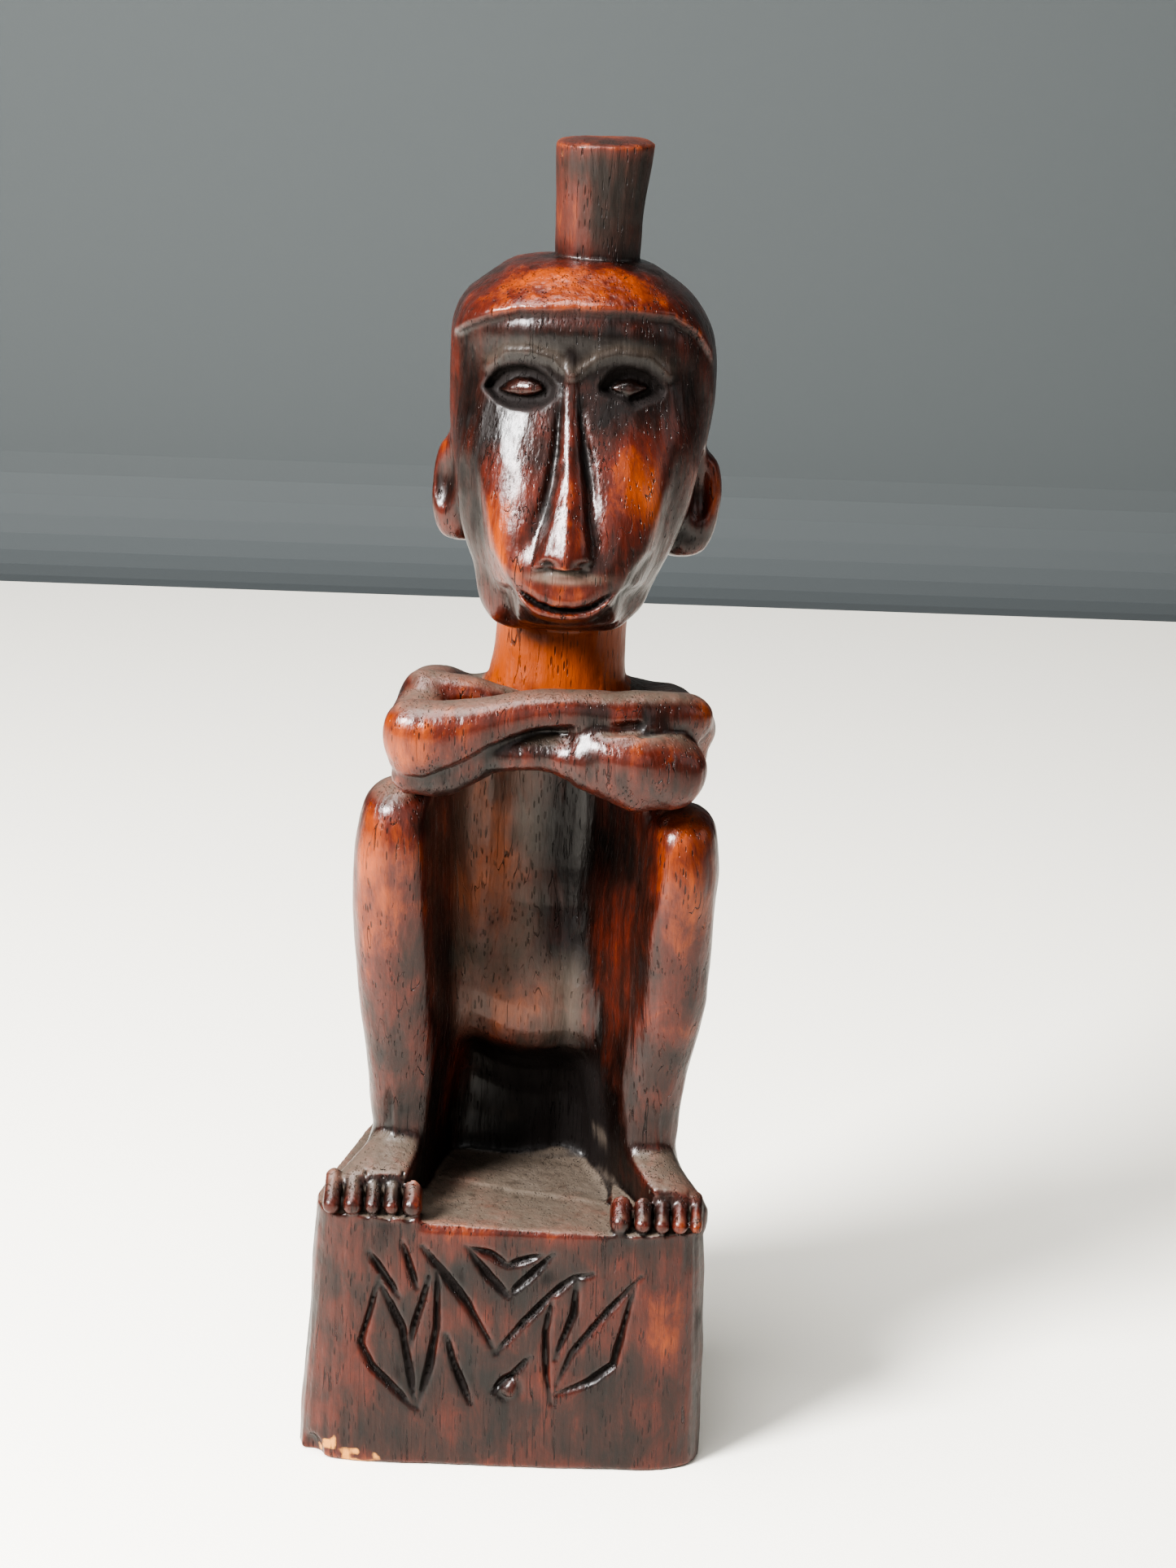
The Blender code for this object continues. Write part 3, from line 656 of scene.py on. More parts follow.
def waxed_wood(name, finish, light, dull):
    """Waxed mahogany-like hardwood, knife-cut, stained, then polished by handling.

    Years of handling leave it glossy and orange on what stands out, near black in the
    cuts, and flecked with open pores that run up the block. Its tone also carries
    painted light and painted shade from the point marks.
    """
    material = bpy.data.materials.new(name)
    material.use_nodes = True
    tree = material.node_tree
    tree.nodes.clear()

    def maths(operation, a, b=None, c=None, clamp=False):
        settings, links = {"operation": operation, "use_clamp": clamp}, {}
        for slot, value in enumerate((a, b, c)):
            if value is None:
                continue
            if isinstance(value, (int, float)):
                settings[slot] = value
            else:
                links[slot] = value
        return add_node(tree, "ShaderNodeMath", settings, links).outputs[0]

    def mark(label):
        return add_node(tree, "ShaderNodeAttribute", {"attribute_name": label}).outputs["Fac"]

    def blend(share, under, over):
        node = add_node(tree, "ShaderNodeMix", {"data_type": "RGBA"})
        for slot, value in ((0, share), (6, under), (7, over)):
            if isinstance(value, bpy.types.NodeSocket):
                tree.links.new(value, node.inputs[slot])
            else:
                node.inputs[slot].default_value = value
        return node.outputs[2]

    def between_values(value, start, end):
        settings = {"interpolation_type": "SMOOTHSTEP", "From Min": start, "From Max": end}
        return add_node(tree, "ShaderNodeMapRange", settings, {"Value": value}).outputs[0]

    where = add_node(tree, "ShaderNodeTexCoord").outputs["Object"]

    def along_grain(squash):
        settings = {"Scale": (1, 1, squash), "Rotation": (0, -LEAN, 0)}
        return add_node(tree, "ShaderNodeMapping", settings, {"Vector": where}).outputs[0]

    # Growth streaks 3 mm wide and some 40 mm long.
    streaks = add_node(
        tree, "ShaderNodeTexNoise", {"Scale": 330.0, "Detail": 4.0, "Roughness": 0.6},
        {"Vector": along_grain(0.07)},
    ).outputs[0]
    # Blotches of worn stain, 7 mm across and twice as long up the grain.
    blotches = add_node(
        tree, "ShaderNodeTexNoise",
        {"Scale": 150.0, "Detail": 6.0, "Roughness": 0.7, "Distortion": 0.6},
        {"Vector": along_grain(0.5)},
    ).outputs[0]
    # Grime, soft patches of 3 mm.
    grime = add_node(
        tree, "ShaderNodeTexNoise", {"Scale": 300.0, "Detail": 3.0}, {"Vector": where}
    ).outputs[0]
    # Open pores 0.3 mm wide and 2.5 mm long; real ones are nearer 0.15 mm and wouldn't show.
    pore_cells = add_node(
        tree, "ShaderNodeTexVoronoi", {"Scale": 1250.0, "Randomness": 1.0},
        {"Vector": along_grain(0.16)},
    )
    pore = between_values(pore_cells.outputs["Distance"], 0.30, 0.14)
    chance = add_node(
        tree, "ShaderNodeTexNoise", {"Scale": 260.0, "Detail": 2.0}, {"Vector": along_grain(0.3)}
    ).outputs[0]
    pore = maths("MULTIPLY", pore, between_values(chance, 0.42, 0.62))
    # Drying checks: hairlines 0.3 mm wide that run 30 mm and more up the grain.
    check_noise = add_node(
        tree, "ShaderNodeTexNoise", {"Scale": 420.0, "Detail": 1.0}, {"Vector": along_grain(0.02)}
    ).outputs[0]
    check = maths("ABSOLUTE", maths("SUBTRACT", check_noise, 0.5))
    check = between_values(check, 0.012, 0.003)
    check = maths("MULTIPLY", check, between_values(blotches, 0.5, 0.6))

    deep, recess_shade = mark("deep"), mark("recess_shade")
    # Tone runs from 0, black dirt, to 1, bare orange wood.
    # The light mark adds painted highlights and painted shade to the tone, with some worn polish and dirt.
    tone = maths("MULTIPLY_ADD", mark("light"), 1.0, light)
    tone = maths("MULTIPLY_ADD", maths("SUBTRACT", blotches, 0.5), 0.95, tone)
    tone = maths("MULTIPLY_ADD", maths("SUBTRACT", streaks, 0.5), 0.42, tone)
    edge = maths("MAXIMUM", deep, -0.12)
    tone = maths("MULTIPLY_ADD", edge, -1.3, tone)
    # Painted shade: wide recesses go darker.
    tone = maths("MULTIPLY_ADD", recess_shade, -0.6, tone, clamp=True)
    stain = add_node(tree, "ShaderNodeValToRGB", {}, {"Fac": tone})
    stops = stain.color_ramp.elements
    colours = ((0.04, finish.dirt_and_shade), (0.26, finish.dark), (0.5, finish.red), (0.86, finish.orange))
    while len(stops) < len(colours):
        stops.new(0.5)
    for stop, (place, colour) in zip(stops, colours):
        stop.position = place
        stop.color = (*colour, 1)
    colour = stain.outputs["Color"]
    colour = blend(maths("MULTIPLY", maths("MAXIMUM", pore, check), 0.72), colour, (*finish.dirt_and_shade, 1))
    # Narrow creases take the dark colour as dirt packed in the cuts; the dirt_and_shade mark adds painted
    # shade under the belly and the brow.
    cut = maths("MAXIMUM", between_values(deep, 0.08, 0.2), mark("dirt_and_shade"))
    colour = blend(maths("MULTIPLY", cut, 0.85), colour, (*finish.dirt_and_shade, 1))
    raw = mark("raw")
    raw = between_values(maths("MULTIPLY_ADD", maths("SUBTRACT", grime, 0.5), 0.9, raw), 0.35, 0.6)
    raw = maths("MULTIPLY", raw, between_values(mark("raw"), 0.02, 0.1))
    colour = blend(raw, colour, (*finish.bare, 1))
    dust = maths("MULTIPLY", mark("dust"), between_values(grime, -0.1, 0.5), clamp=True)
    colour = blend(maths("MULTIPLY", dust, 0.95), colour, (*finish.dust, 1))

    # Wax gives a soft gloss; dirt, dust and bare wood are matt.
    rough = maths("MULTIPLY_ADD", maths("SUBTRACT", grime, 0.5), 0.22, finish.roughness + dull)
    rough = maths("MULTIPLY_ADD", cut, 0.45, rough)
    rough = maths("MULTIPLY_ADD", dust, 0.4, rough)
    rough = maths("MULTIPLY_ADD", raw, 0.3, rough, clamp=True)

    # The wax is rubbed off, or buried, wherever dirt and dust lie.
    bare = maths("SUBTRACT", 1.0, maths("MAXIMUM", cut, dust), clamp=True)
    wax = maths("MULTIPLY", bare, finish.wax * (1 - dull * 2.5))

    ripple = add_node(
        tree, "ShaderNodeTexNoise", {"Scale": 900.0, "Detail": 3.0}, {"Vector": along_grain(0.18)}
    ).outputs[0]
    height = maths("MULTIPLY", ripple, 0.6)
    height = maths("MULTIPLY_ADD", pore, -1.0, height)
    height = maths("MULTIPLY_ADD", check, -1.6, height)
    height = maths("MULTIPLY_ADD", grime, 0.5, height)
    bump = add_node(
        tree, "ShaderNodeBump", {"Strength": 0.9, "Distance": 0.0004}, {"Height": height}
    )
    shader = add_node(
        tree, "ShaderNodeBsdfPrincipled",
        {"IOR": 1.5, "Specular IOR Level": 0.32, "Coat Roughness": 0.2, "Coat IOR": 1.45},
        {"Base Color": colour, "Roughness": rough, "Normal": bump.outputs[0], "Coat Weight": wax},
    )
    output = add_node(tree, "ShaderNodeOutputMaterial", {}, {"Surface": shader.outputs[0]})
    output.is_active_output = True
    return material


def stage_material(name, colour, roughness, grain):
    """Matt painted board, rolled on: even, with a faint nap."""
    material = bpy.data.materials.new(name)
    material.use_nodes = True
    tree = material.node_tree
    tree.nodes.clear()
    where = add_node(tree, "ShaderNodeTexCoord").outputs["Object"]
    nap = add_node(tree, "ShaderNodeTexNoise", {"Scale": grain, "Detail": 3.0}, {"Vector": where})
    bump = add_node(
        tree, "ShaderNodeBump", {"Strength": 0.08, "Distance": 0.0005}, {"Height": nap.outputs[0]}
    )
    shader = add_node(
        tree, "ShaderNodeBsdfPrincipled", {"Base Color": (*colour, 1), "Roughness": roughness},
        {"Normal": bump.outputs[0]},
    )
    add_node(tree, "ShaderNodeOutputMaterial", {}, {"Surface": shader.outputs[0]})
    return material


# --- Settings ---------------------------------------------------------------------------


def length(name, description, default):
    return bpy.props.FloatProperty(
        name=name, description=description, default=default, min=0.0, precision=4,
        subtype="DISTANCE", unit="LENGTH",
    )


def colour_of(name, description, default):
    return bpy.props.FloatVectorProperty(
        name=name, description=description, default=linear(default), min=0.0, max=1.0, size=3,
        subtype="COLOR",
    )


class CarvingSizes(bpy.types.PropertyGroup):
    cell: length("Grain of the cut", "Smallest step of the carved skin", 0.00055)
    crease: length("Crease", "Rounding where two masses meet", 0.0022)
    soften: length("Softening", "How far rasping and wear round the blocked-out planes", 0.003)
    tool_marks: length("Tool marks", "Height of the knife's ripples", 0.00024)
    nose_height: length("Nose", "Height of the nose above the cheeks", 0.004)
    eye_depth: length("Eye sockets", "Depth of the cut round each eyeball", 0.0028)
    leaf_depth: length("Leaf depth", "Depth of the strokes on the plinth", 0.0019)
    leaf_width: length("Leaf width", "Width of the strokes on the plinth", 0.0027)
    toe_gap: length("Toe gap", "Width of the cut between two toes", 0.0009)


class WoodFinish(bpy.types.PropertyGroup):
    # The dark fill colour: dirt in the cuts, and painted shade under the belly, under the brow and in wide
    # recesses.
    dirt_and_shade: colour_of("Dirt", "Dirt and old wax packed in the cuts", "#0f0705")
    dark: colour_of("Dark stain", "Stain where nothing rubs", "#27100a")
    red: colour_of("Red-brown", "Stained wood", "#461a10")
    orange: colour_of("Worn", "Wood polished through the stain", "#803b15")
    bare: colour_of("Bare wood", "Freshly chipped wood", "#b37c42")
    dust: colour_of("Dust", "Dust on what faces up", "#84776a")
    roughness: bpy.props.FloatProperty(
        name="Roughness", description="Roughness of the waxed wood", default=0.34, min=0.0, max=1.0
    )
    wax: bpy.props.FloatProperty(
        name="Wax", description="Weight of the wax coat", default=0.28, min=0.0, max=1.0
    )


class StageSettings(bpy.types.PropertyGroup):
    floor: colour_of("Floor", "Colour of the floor", "#f6f2e8")
    wall: colour_of("Wall", "Colour of the backdrop", "#4d5152")
    key: bpy.props.FloatProperty(
        name="Key light", description="Strength of the main light", default=48.0, min=0.0, unit="POWER"
    )
    fill: bpy.props.FloatProperty(
        name="Fill light", description="Strength of the fill light", default=4.0, min=0.0, unit="POWER"
    )


# --- Stage, in metres and degrees ----------------------------------------------------------

FLOOR_FRONT, FLOOR_BACK, COVE, WALL_TOP, STAGE_HALF = -2.2, 0.9, 0.06, 2.6, 2.6
COVE_STEPS = 8
AIM = Vector((0.008, 0, 0.165))
# Each light's turn from the front, lift, distance and size, and its share of a setting.
LIGHTS = (
    ("key", -50, 35, 1.2, 0.42, "key", 1.0),
    ("top", -50, 76, 1.5, 0.9, "key", 0.5),
    ("front", 12, 22, 1.6, 1.1, "fill", 1.0),
    ("side", 78, 24, 1.4, 0.8, "fill", 0.6),
)
AMBIENT, AMBIENT_TINT = 0.16, (1.0, 0.98, 0.95, 1)
CAMERA_AT = (0.01688, -0.74106, 0.39773)
CAMERA_PITCH, CAMERA_ROLL = 17, 2
LENS_MM, SENSOR_MM = 71.0, 36.0


# --- Operators --------------------------------------------------------------------------

block = None
pieces = {}


class Cutting:
    """What the carving operators share."""

    bl_options = {"REGISTER", "UNDO"}

    def execute(self, context):
        if block is None:
            raise RuntimeError("the masses have to be joined into one block first")
        self.carve(context.scene.carving_sizes)
        return {"FINISHED"}


class CARVING_OT_block(bpy.types.Operator):
    """Join the blocked-out masses into one block and rasp it smooth"""

    bl_idname = "carving.block"
    bl_label = "Join Masses"
    bl_options = {"REGISTER", "UNDO"}

    def execute(self, context):
        global block
        sizes = context.scene.carving_sizes
        low, high = (np.array(corner) / MM for corner in BLOCKED_OUT)
        block = Block(low - 5, high + 5, sizes.cell / MM)
        topknot = NODES.index("topknot")
        for number, name in enumerate(NODES):
            if number != topknot:
                block.join(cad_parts[name], number, sizes.crease / MM)
        block.soften(SOFTEN_FROM, sizes.soften / MM)
        # The topknot keeps a crisp foot, so it's joined last.
        block.join(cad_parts["topknot"], topknot, 0.5)
        return {"FINISHED"}


class CARVING_OT_head(Cutting, bpy.types.Operator):
    """Carve the brow, eyes, nose, lips, ears and topknot"""

    bl_idname = "carving.head"
    bl_label = "Carve Head"

    def carve(self, sizes):
        jaw = strand([(-1.5, -10, 222.8), (19, -10, 222.8)], (9, 9))
        block.add((-16, -24, 208), (34, 4, 238), jaw, 4.0)
        block.rise((-26, -46, 212), (48, 4, 300), lambda x, y, z: face_rise(x, y, z, sizes))
        # Ears: a dished front with a rim.
        for side, centre in ((-1, (-22.0, -1.8, 248.0)), (1, (42.2, -2.2, 247.0))):
            low = [c - 14 for c in centre]
            high = [c + 14 for c in centre]
            block.cut(low, high, egg(centre, (4.0, 6.0, 10.0)), 1.0)
        # Topknot: a dished end grain, worn at the rim.
        top = (LEAN * HEIGHT - 0.2, 12.0, HEIGHT + 4.5)
        block.cut((0, 0, 322), (30, 26, 335), egg(top, (11, 9, 5.2)), 1.2)


class CARVING_OT_arms(Cutting, bpy.types.Operator):
    """Carve the crossed arms: their creases, hands and the slot over the lower arm"""

    bl_idname = "carving.arms"
    bl_label = "Carve Arms"

    def carve(self, sizes):
        def planes(x, y, z):
            below = between(x, BAR_EDGE) - z
            band = 0.8 * ramp(below, -0.3, 1.4) * ramp(-x, -14.6, -11.5) * ramp(z, 175, 179)
            lobe = 1.6 * hill(x, 27, 10) * hill(z, 188.5, 7)
            return (lobe - band) * ramp(-y, 24, 29)

        # The bar runs on without a break into the strap of wood behind the slot.
        strap = strand([(28, -29, 198.8), (36, -27.5, 198.2), (41.5, -24, 196)], (4.6, 4.8, 4.4))
        block.add((22, -36, 190), (48, -18, 206), strap, 2.0)
        # The two arms are one mass below the bar, and the lobe hangs lower than it.
        under = strand(
            [(-26, -31.5, 181.5), (-16, -32, 182), (-8, -32.5, 187), (6, -33, 188.5), (14, -34, 187)],
            (5, 5, 4.6, 4.4, 4.6),
        )
        block.add((-34, -42, 172), (22, -22, 198), under, 3.0)
        lobe = strand(
            [(14, -34, 186.5), (22.5, -34, 182.8), (28.5, -33, 179.8), (36, -31, 181)], (4.6, 5, 5, 5)
        )
        block.add((6, -42, 170), (44, -22, 196), lobe, 3.0)
        shoulder = strand([(-24, -12, 198), (-12, -12, 196.5), (-2, -12, 194)], (4.6, 4.6, 4.4))
        block.add((-32, -20, 186), (6, -4, 206), shoulder, 3.0)
        block.rise((-38, -46, 174), (46, -22, 204), planes)
        for points, radii in (
            # over the lower arm's front end, under the bar
            ([(14, -39.5, 193.5), (16, -39.5, 196), (20, -38.5, 197)], (0.5, 1.1, 1.5)),
            # the black slot
            ([(19.6, -38.5, 196.8), (24, -37, 196.2), (28.5, -36, 196.6)], (1.4, 1.7, 1.5)),
            # edge of the hand behind the lower arm
            ([(29, -37, 195), (35, -35, 195.3), (40.5, -31.5, 195), (43.8, -28, 190.5), (45, -26, 186)],
             (1.0, 0.9, 0.9, 0.8, 0.5)),
            # scratches under the bar
            ([(-10, -38, 183.5), (-3, -38.5, 186.5), (4, -39, 188)], (0.2, 0.4, 0.2)),
            # between shoulder and bar
            ([(-30, -24, 200), (-20, -27, 202.5), (-8, -28, 203), (0, -28.5, 203)], (0.8, 1.0, 1.0, 0.6)),
            # nicks across the elbow
            ([(-30.3, -43, 193.5), (-31.6, -43, 187.5)], (0.5, 0.4)),
            ([(-29.0, -43, 192.0), (-29.9, -43, 189.0)], (0.4, 0.3)),
        ):
            block.gouge(points, radii, 0.9)


class CARVING_OT_torso(Cutting, bpy.types.Operator):
    """Carve the chest facets, the belly's lip and the gash under the arms"""

    bl_idname = "carving.torso"
    bl_label = "Carve Torso"

    def carve(self, sizes):
        def middle(z):
            return 2.6 + LEAN * (z - 130)

        def front(z):
            return between(z, TORSO_FRONT)

        def trunk(x, y, z):
            side = np.abs(x - middle(z)) - between(z, TRUNK_HALF)
            wall = soft_max(side, front(z) - y + 0 * x, 6.0)
            return np.maximum(np.maximum(wall, y - TRUNK_BACK), np.maximum(TRUNK_LOW - z, z - TRUNK_HIGH))

        def walls(y, z):
            """Where the opening's sides stand: they lean outward to the shins."""
            ahead = np.clip(2 - y, 0, None)
            return between(z, RIGHT_WALL) - 0.24 * ahead, between(z, LEFT_WALL) + 0.46 * ahead

        def opening(x, y, z):
            right, left = walls(y, z)
            # The belly bulges between the walls, and its lip is higher at the right hip.
            across = np.clip((x - middle(z)) ** 2, 0, 140)
            bulge = between(z - 0.014 * across + 0.2 * (x - 3), TORSO_FRONT) + 0.016 * across
            hole = soft_max(np.maximum(right - x, x - left), y - bulge, 10.0)
            return soft_max(soft_max(hole, RECESS_FLOOR - z, 2.0), z - 176 - 0.25 * (y + 12), 2.0)

        def webs(x, y, z):
            right, left = walls(y, z)
            slab = np.minimum(np.abs(x - right + WEB_HALF), np.abs(x - left - WEB_HALF)) - WEB_HALF
            return np.maximum(np.maximum(slab, np.maximum(-19 - y, y - 14)), np.maximum(64 - z, z - 172))

        def facets(x, y, z):
            keel = np.abs(x - middle(z) + 0.8)
            chest = 1.2 * (1 - ramp(keel, 0, 12)) * ramp(z, 122, 136) * ramp(-z, -186, -170)
            return chest * ramp(-y, -24, -16)

        torso = NODES.index("torso")
        block.add((-34, -14, 60), (40, 28, 192), trunk, 3.0, torso)
        inner_thigh = strand([(-21, -4, 184), (-22, -9, 172), (-21.5, -11, 158)], (4.5, 5, 4))
        block.add((-30, -18, 150), (-12, 4, 192), inner_thigh, 3.0)
        block.add((-34, -24, 67), (44, 18, 176), webs, 4.0, torso)
        block.cut((-27, -32, 67), (36, 14, 181), opening, 2.0)
        block.rise((-20, -16, 68), (24, 26, 190), facets)
        block.gouge([(11, -9, 176.5), (16, -9, 175.8), (21, -9, 175.6)], (0.8, 1.0, 0.6))
        block.gouge([(-6.5, -9, 177.5), (-3.5, -9, 176.8)], (0.6, 0.4))


class CARVING_OT_feet(Cutting, bpy.types.Operator):
    """Cut the toes"""

    bl_idname = "carving.feet"
    bl_label = "Carve Feet"

    def carve(self, sizes):
        gap = sizes.toe_gap / MM
        for side, edges in TOE_EDGES.items():
            floor = TOE_FLOOR[side]
            low, high = min(edges) - 1.5, max(edges) + 1.5

            def front(x, y, z):
                return np.maximum(np.maximum(low - x, x - high), np.maximum(y + 33.0, floor + 0.3 - z))

            block.cut((low - 2, -45, floor), (high + 2, -31, floor + 14), front, 1.0)
            for left, right in zip(edges, edges[1:]):
                x, half = (left + right) / 2, (right - left - gap) / 2 + 0.25
                knuckle, tip = (x, -30.5, floor + 7.4), (x, -38.8 + half, floor + 2.3)
                low_box, high_box = (x - 5, -42, floor - 2), (x + 5, -24, floor + 14)
                block.add(low_box, high_box, strand([knuckle, tip], (half * 0.85, half)), 0.5)
                block.gouge([(right, -31, floor + 9), (right, -34.5, floor + 7.5)], (0.3, gap * 0.4), 0.5)


class CARVING_OT_plinth(Cutting, bpy.types.Operator):
    """Cut the leaves, the chips and the worn top of the plinth"""

    bl_idname = "carving.plinth"
    bl_label = "Carve Plinth"

    def carve(self, sizes):
        block.rise(
            (-42, -46, 8), (44, -20, 66), lambda x, y, z: -leaf_cut(x, z, sizes) * ramp(-y, 22, 28)
        )
        block.rise(  # a peg end at the foot of the leaves
            (-4, -46, 14), (9, -30, 29),
            lambda x, y, z: 1.2 * hill(np.hypot(x - 2.5, z - 21), 0, 1.5)
            - 0.8 * hill(np.hypot(x - 2.0, z - 22.5), 2.8, 1.0),
        )
        block.rise(  # the top was cut in two levels
            (-24, -44, 60), (32, 10, 72),
            lambda x, y, z: -0.8 * ramp(-(y + 14.5 + 0.24 * x), -0.8, 0.8) * ramp(-np.abs(x - 3), -26, -22)
            * ramp(z, 64.5, 66.5),
        )
        for y in (-31, -26.5, -20, -13, -8, -2.5):  # strokes of the gouge across the top
            block.gouge([(-17, y, 68.3), (3, y - 0.9, 67.5), (25, y - 1.2, 66.9)], (0.5, 0.7, 0.4), 0.3)
        for centre, radii in (
            ((-48.5, -37, 1), (4.0, 5, 6)), ((-44, -41.2, 4), (3.0, 2.0, 5)),
            ((-33, -41.0, -0.8), (5, 2.0, 2.4)), ((-38, -40.2, 6), (1.0, 1.2, 7)),
        ):
            low = [c - r - 1 for c, r in zip(centre, radii)]
            high = [c + r + 1 for c, r in zip(centre, radii)]
            block.cut(low, high, egg(centre, radii), 0.3)
        for x, low_z, high_z in ((1.5, -1, 17), (-27, 4, 21), (19, 30, 64), (-12, 1, 12), (33, 2, 30)):
            block.gouge([(x, -39.6, low_z), (x + 0.4, -39.2, high_z)], (0.6, 0.2), 0.2)


class CARVING_OT_skin(bpy.types.Operator):
    """Lift the finished skin off the block and part it along the creases"""

    bl_idname = "carving.skin"
    bl_label = "Part Skin"
    bl_options = {"REGISTER", "UNDO"}

    def execute(self, context):
        if block is None:
            raise RuntimeError("there is no block to lift the skin from")
        sizes = context.scene.carving_sizes
        points, quads = block.skin()
        points = eased(points, quads, 2, 0.5)
        normals = point_normals(points, quads)
        ripples = 0.6 * tumbled(points, 6, 1) + tumbled(points, 13, 2)
        ripples += 0.35 * tumbled(points, (1.3, 1.3, 14), 3)
        ripples *= sizes.tool_marks / MM
        low, high = (np.array(corner) / MM for corner in BLOCKED_OUT)
        points = points + normals * ripples[:, None]
        points[:, 2] = np.clip(points[:, 2], low[2], high[2])
        normals = point_normals(points, quads)
        marks = patina_marks(points, normals)
        owner = block.nearest(block.owner, points[quads].mean(1))
        for number, name in enumerate(NODES):
            faces = quads[owner == number]
            if not len(faces):
                raise RuntimeError(f"no skin is left for {name}")
            used, compact = np.unique(faces, return_inverse=True)
            faces = compact.reshape(faces.shape)
            closed, faces = shelled(points[used], faces, normals[used])
            own = {mark: np.tile(values[used], 2) for mark, values in marks.items()}
            facing = np.concatenate([normals[used], -normals[used]])
            piece = new_mesh(f"carved_{name}", closed, faces, facing, own)
            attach(piece, "root")
            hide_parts(name)
            pieces[name] = piece
        return {"FINISHED"}


class CARVING_OT_finish(bpy.types.Operator):
    """Stain, wax and wear the wood, and paint light and shade into its tone"""

    bl_idname = "carving.finish"
    bl_label = "Finish Wood"
    bl_options = {"REGISTER", "UNDO"}

    def execute(self, context):
        if not pieces:
            raise RuntimeError("there are no pieces to finish")
        finish = context.scene.carving_finish
        woods = {
            "dark_patina": waxed_wood("dark_waxed_mahogany", finish, 0.23, 0.04),
            "red_patina": waxed_wood("red_waxed_mahogany", finish, 0.29, 0.0),
            # The neck's wood is made much lighter: painted light where the key light falls on it.
            "neck_wood": waxed_wood("neck_mahogany_painted_lit", finish, 0.9, 0.12),
            "topknot_wood": waxed_wood("thinly_stained_mahogany", finish, 0.30, 0.12),
        }
        for name, piece in pieces.items():
            slot = SLOTS[name]
            piece.data.materials.append(woods[slot])
        return {"FINISHED"}


SLOTS = {name: "red_patina" for name in NODES}
SLOTS |= {"plinth": "dark_patina", "left_foot": "dark_patina", "right_foot": "dark_patina"}
SLOTS |= {"torso": "dark_patina", "left_hand": "dark_patina"}
SLOTS |= {"neck": "neck_wood", "topknot": "topknot_wood"}


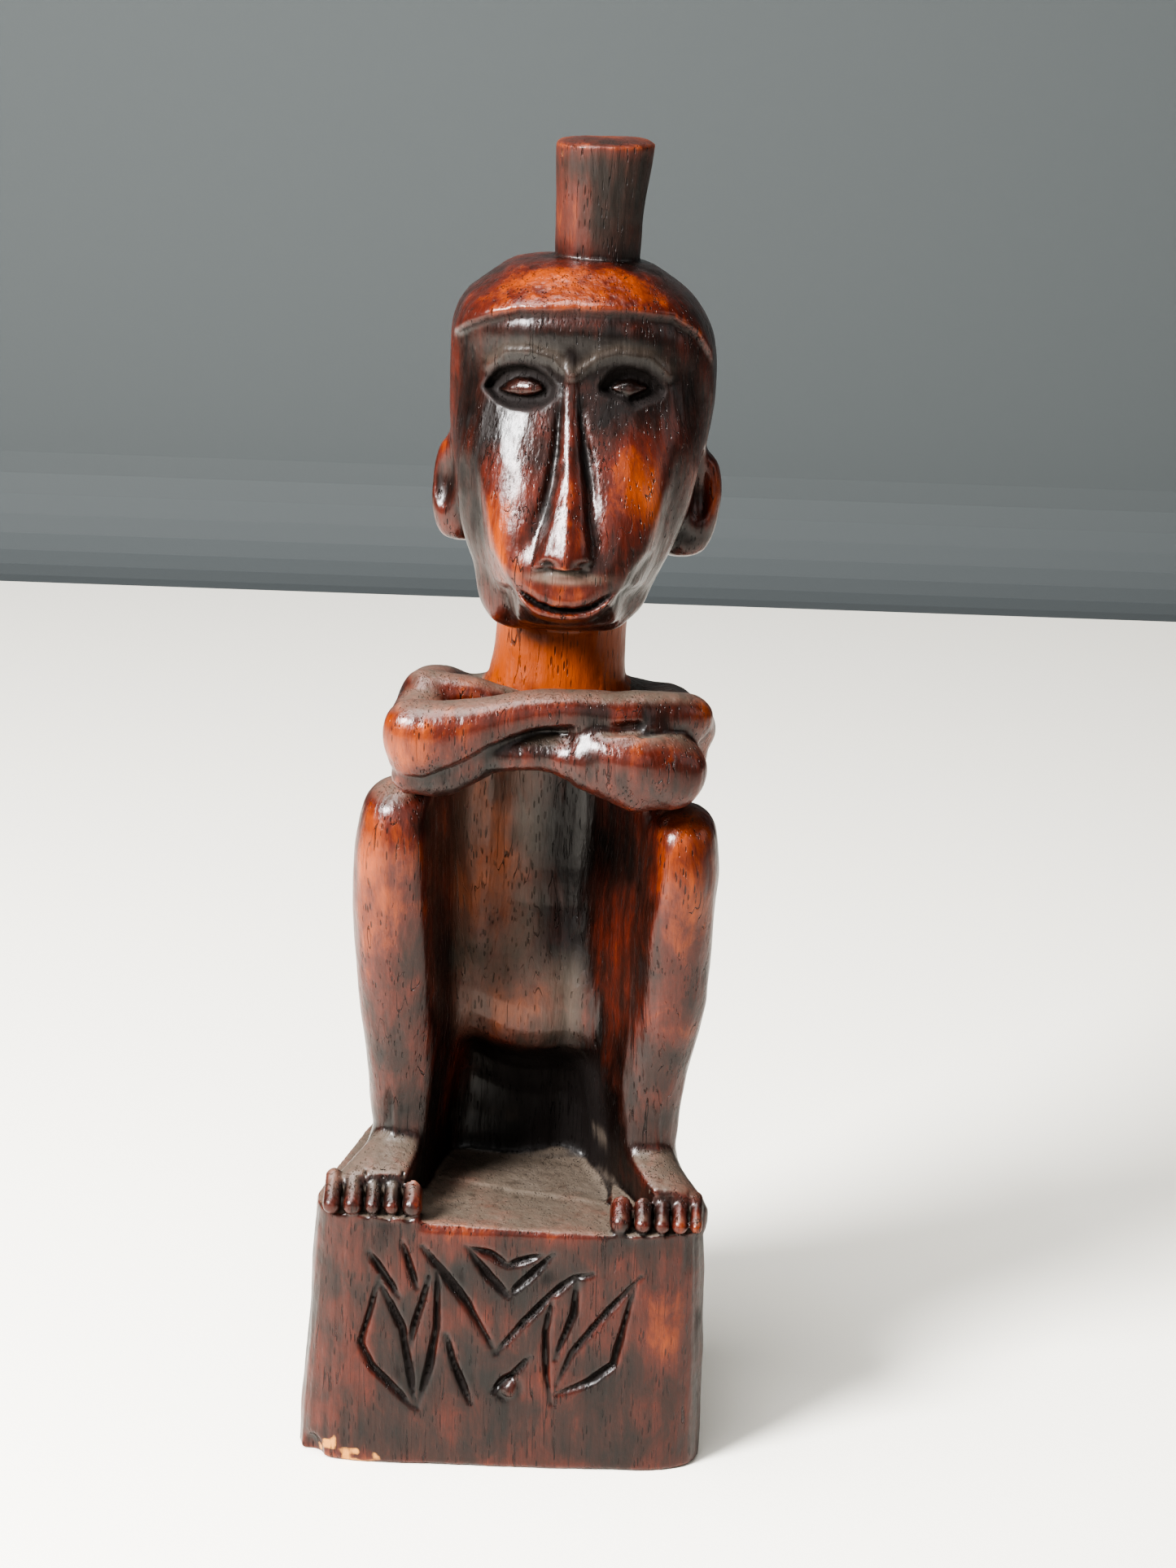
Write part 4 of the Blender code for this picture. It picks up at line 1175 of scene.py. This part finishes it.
class CARVING_OT_stage(bpy.types.Operator):
    """Set the floor, backdrop, lights and camera"""

    bl_idname = "carving.stage"
    bl_label = "Set Stage"
    bl_options = {"REGISTER", "UNDO"}

    def execute(self, context):
        settings = context.scene.carving_stage
        link = context.scene.collection.objects.link
        # One sweep: flat floor, a cove, and a wall.
        profile = [(FLOOR_FRONT, 0.0), (FLOOR_BACK, 0.0)]
        for step in range(1, COVE_STEPS + 1):
            turn = math.radians(90 * step / COVE_STEPS)
            profile.append((FLOOR_BACK + COVE * math.sin(turn), COVE - COVE * math.cos(turn)))
        profile.append((FLOOR_BACK + COVE, WALL_TOP))
        points = [(x, y, z) for y, z in profile for x in (-STAGE_HALF, STAGE_HALF)]
        faces = [(2 * i, 2 * i + 1, 2 * i + 3, 2 * i + 2) for i in range(len(profile) - 1)]
        mesh = bpy.data.meshes.new("sweep")
        mesh.from_pydata(points, [], faces)
        mesh.materials.append(stage_material("painted_floor_board", settings.floor, 0.55, 900.0))
        mesh.materials.append(stage_material("painted_wall_board", settings.wall, 0.8, 500.0))
        for polygon in mesh.polygons[1:]:
            polygon.material_index = 1
        sweep = bpy.data.objects.new("sweep", mesh)
        link(sweep)

        for name, azimuth, height, distance, size, setting, share in LIGHTS:
            light = bpy.data.lights.new(name, "AREA")
            light.shape = "DISK"
            light.size = size
            light.energy = getattr(settings, setting) * share
            lamp = bpy.data.objects.new(name, light)
            turn, lift = math.radians(azimuth), math.radians(height)
            flat = math.cos(lift)
            away = Vector((math.sin(turn) * flat, -math.cos(turn) * flat, math.sin(lift)))
            lamp.location = AIM + away * distance
            lamp.rotation_euler = away.to_track_quat("Z", "Y").to_euler()
            link(lamp)
        world = bpy.data.worlds.new("studio")
        world.use_nodes = True
        backdrop = world.node_tree.nodes["Background"]
        backdrop.inputs["Color"].default_value = AMBIENT_TINT
        backdrop.inputs["Strength"].default_value = AMBIENT
        context.scene.world = world
        context.scene.view_settings.look = "AgX - High Contrast"

        pitch, roll = math.radians(CAMERA_PITCH), math.radians(CAMERA_ROLL)
        ahead = Vector((0, math.cos(pitch), -math.sin(pitch)))
        level, lift = Vector((1, 0, 0)), Vector((0, math.sin(pitch), math.cos(pitch)))
        right = math.cos(roll) * level + math.sin(roll) * lift
        up = math.cos(roll) * lift - math.sin(roll) * level
        lens = bpy.data.cameras.new("view")
        lens.lens = LENS_MM
        lens.sensor_width = SENSOR_MM
        camera = bpy.data.objects.new("view", lens)
        turned = Matrix((right, up, -ahead)).transposed().to_4x4()
        camera.matrix_world = Matrix.Translation(CAMERA_AT) @ turned
        link(camera)
        context.scene.camera = camera
        return {"FINISHED"}


class CARVING_PT_panel(bpy.types.Panel):
    """Sidebar panel that lists the steps"""

    bl_idname = "CARVING_PT_panel"
    bl_label = "Carved Figure"
    bl_space_type = "VIEW_3D"
    bl_region_type = "UI"
    bl_category = "Carving"

    def draw(self, context):
        column = self.layout.column()
        for operator in OPERATORS:
            column.operator(operator.bl_idname)
        for group in ("carving_sizes", "carving_finish", "carving_stage"):
            settings = getattr(context.scene, group)
            box = self.layout.box()
            for name in settings.__annotations__:
                box.prop(settings, name)


OPERATORS = (
    CARVING_OT_block,
    CARVING_OT_plinth,
    CARVING_OT_feet,
    CARVING_OT_torso,
    CARVING_OT_arms,
    CARVING_OT_head,
    CARVING_OT_skin,
    CARVING_OT_finish,
    CARVING_OT_stage,
)
GROUPS = (
    ("carving_sizes", CarvingSizes),
    ("carving_finish", WoodFinish),
    ("carving_stage", StageSettings),
)


def register():
    for name, group in GROUPS:
        bpy.utils.register_class(group)
        setattr(bpy.types.Scene, name, bpy.props.PointerProperty(type=group))
    for operator in OPERATORS:
        bpy.utils.register_class(operator)
    bpy.utils.register_class(CARVING_PT_panel)


def unregister():
    bpy.utils.unregister_class(CARVING_PT_panel)
    for operator in reversed(OPERATORS):
        bpy.utils.unregister_class(operator)
    for name, group in reversed(GROUPS):
        delattr(bpy.types.Scene, name)
        bpy.utils.unregister_class(group)


def main():
    register()
    bpy.ops.carving.block()
    bpy.ops.carving.plinth()
    bpy.ops.carving.feet()
    bpy.ops.carving.torso()
    bpy.ops.carving.arms()
    bpy.ops.carving.head()
    bpy.ops.carving.skin()
    bpy.ops.carving.finish()
    bpy.ops.carving.stage()


if __name__ == "__main__":
    main()
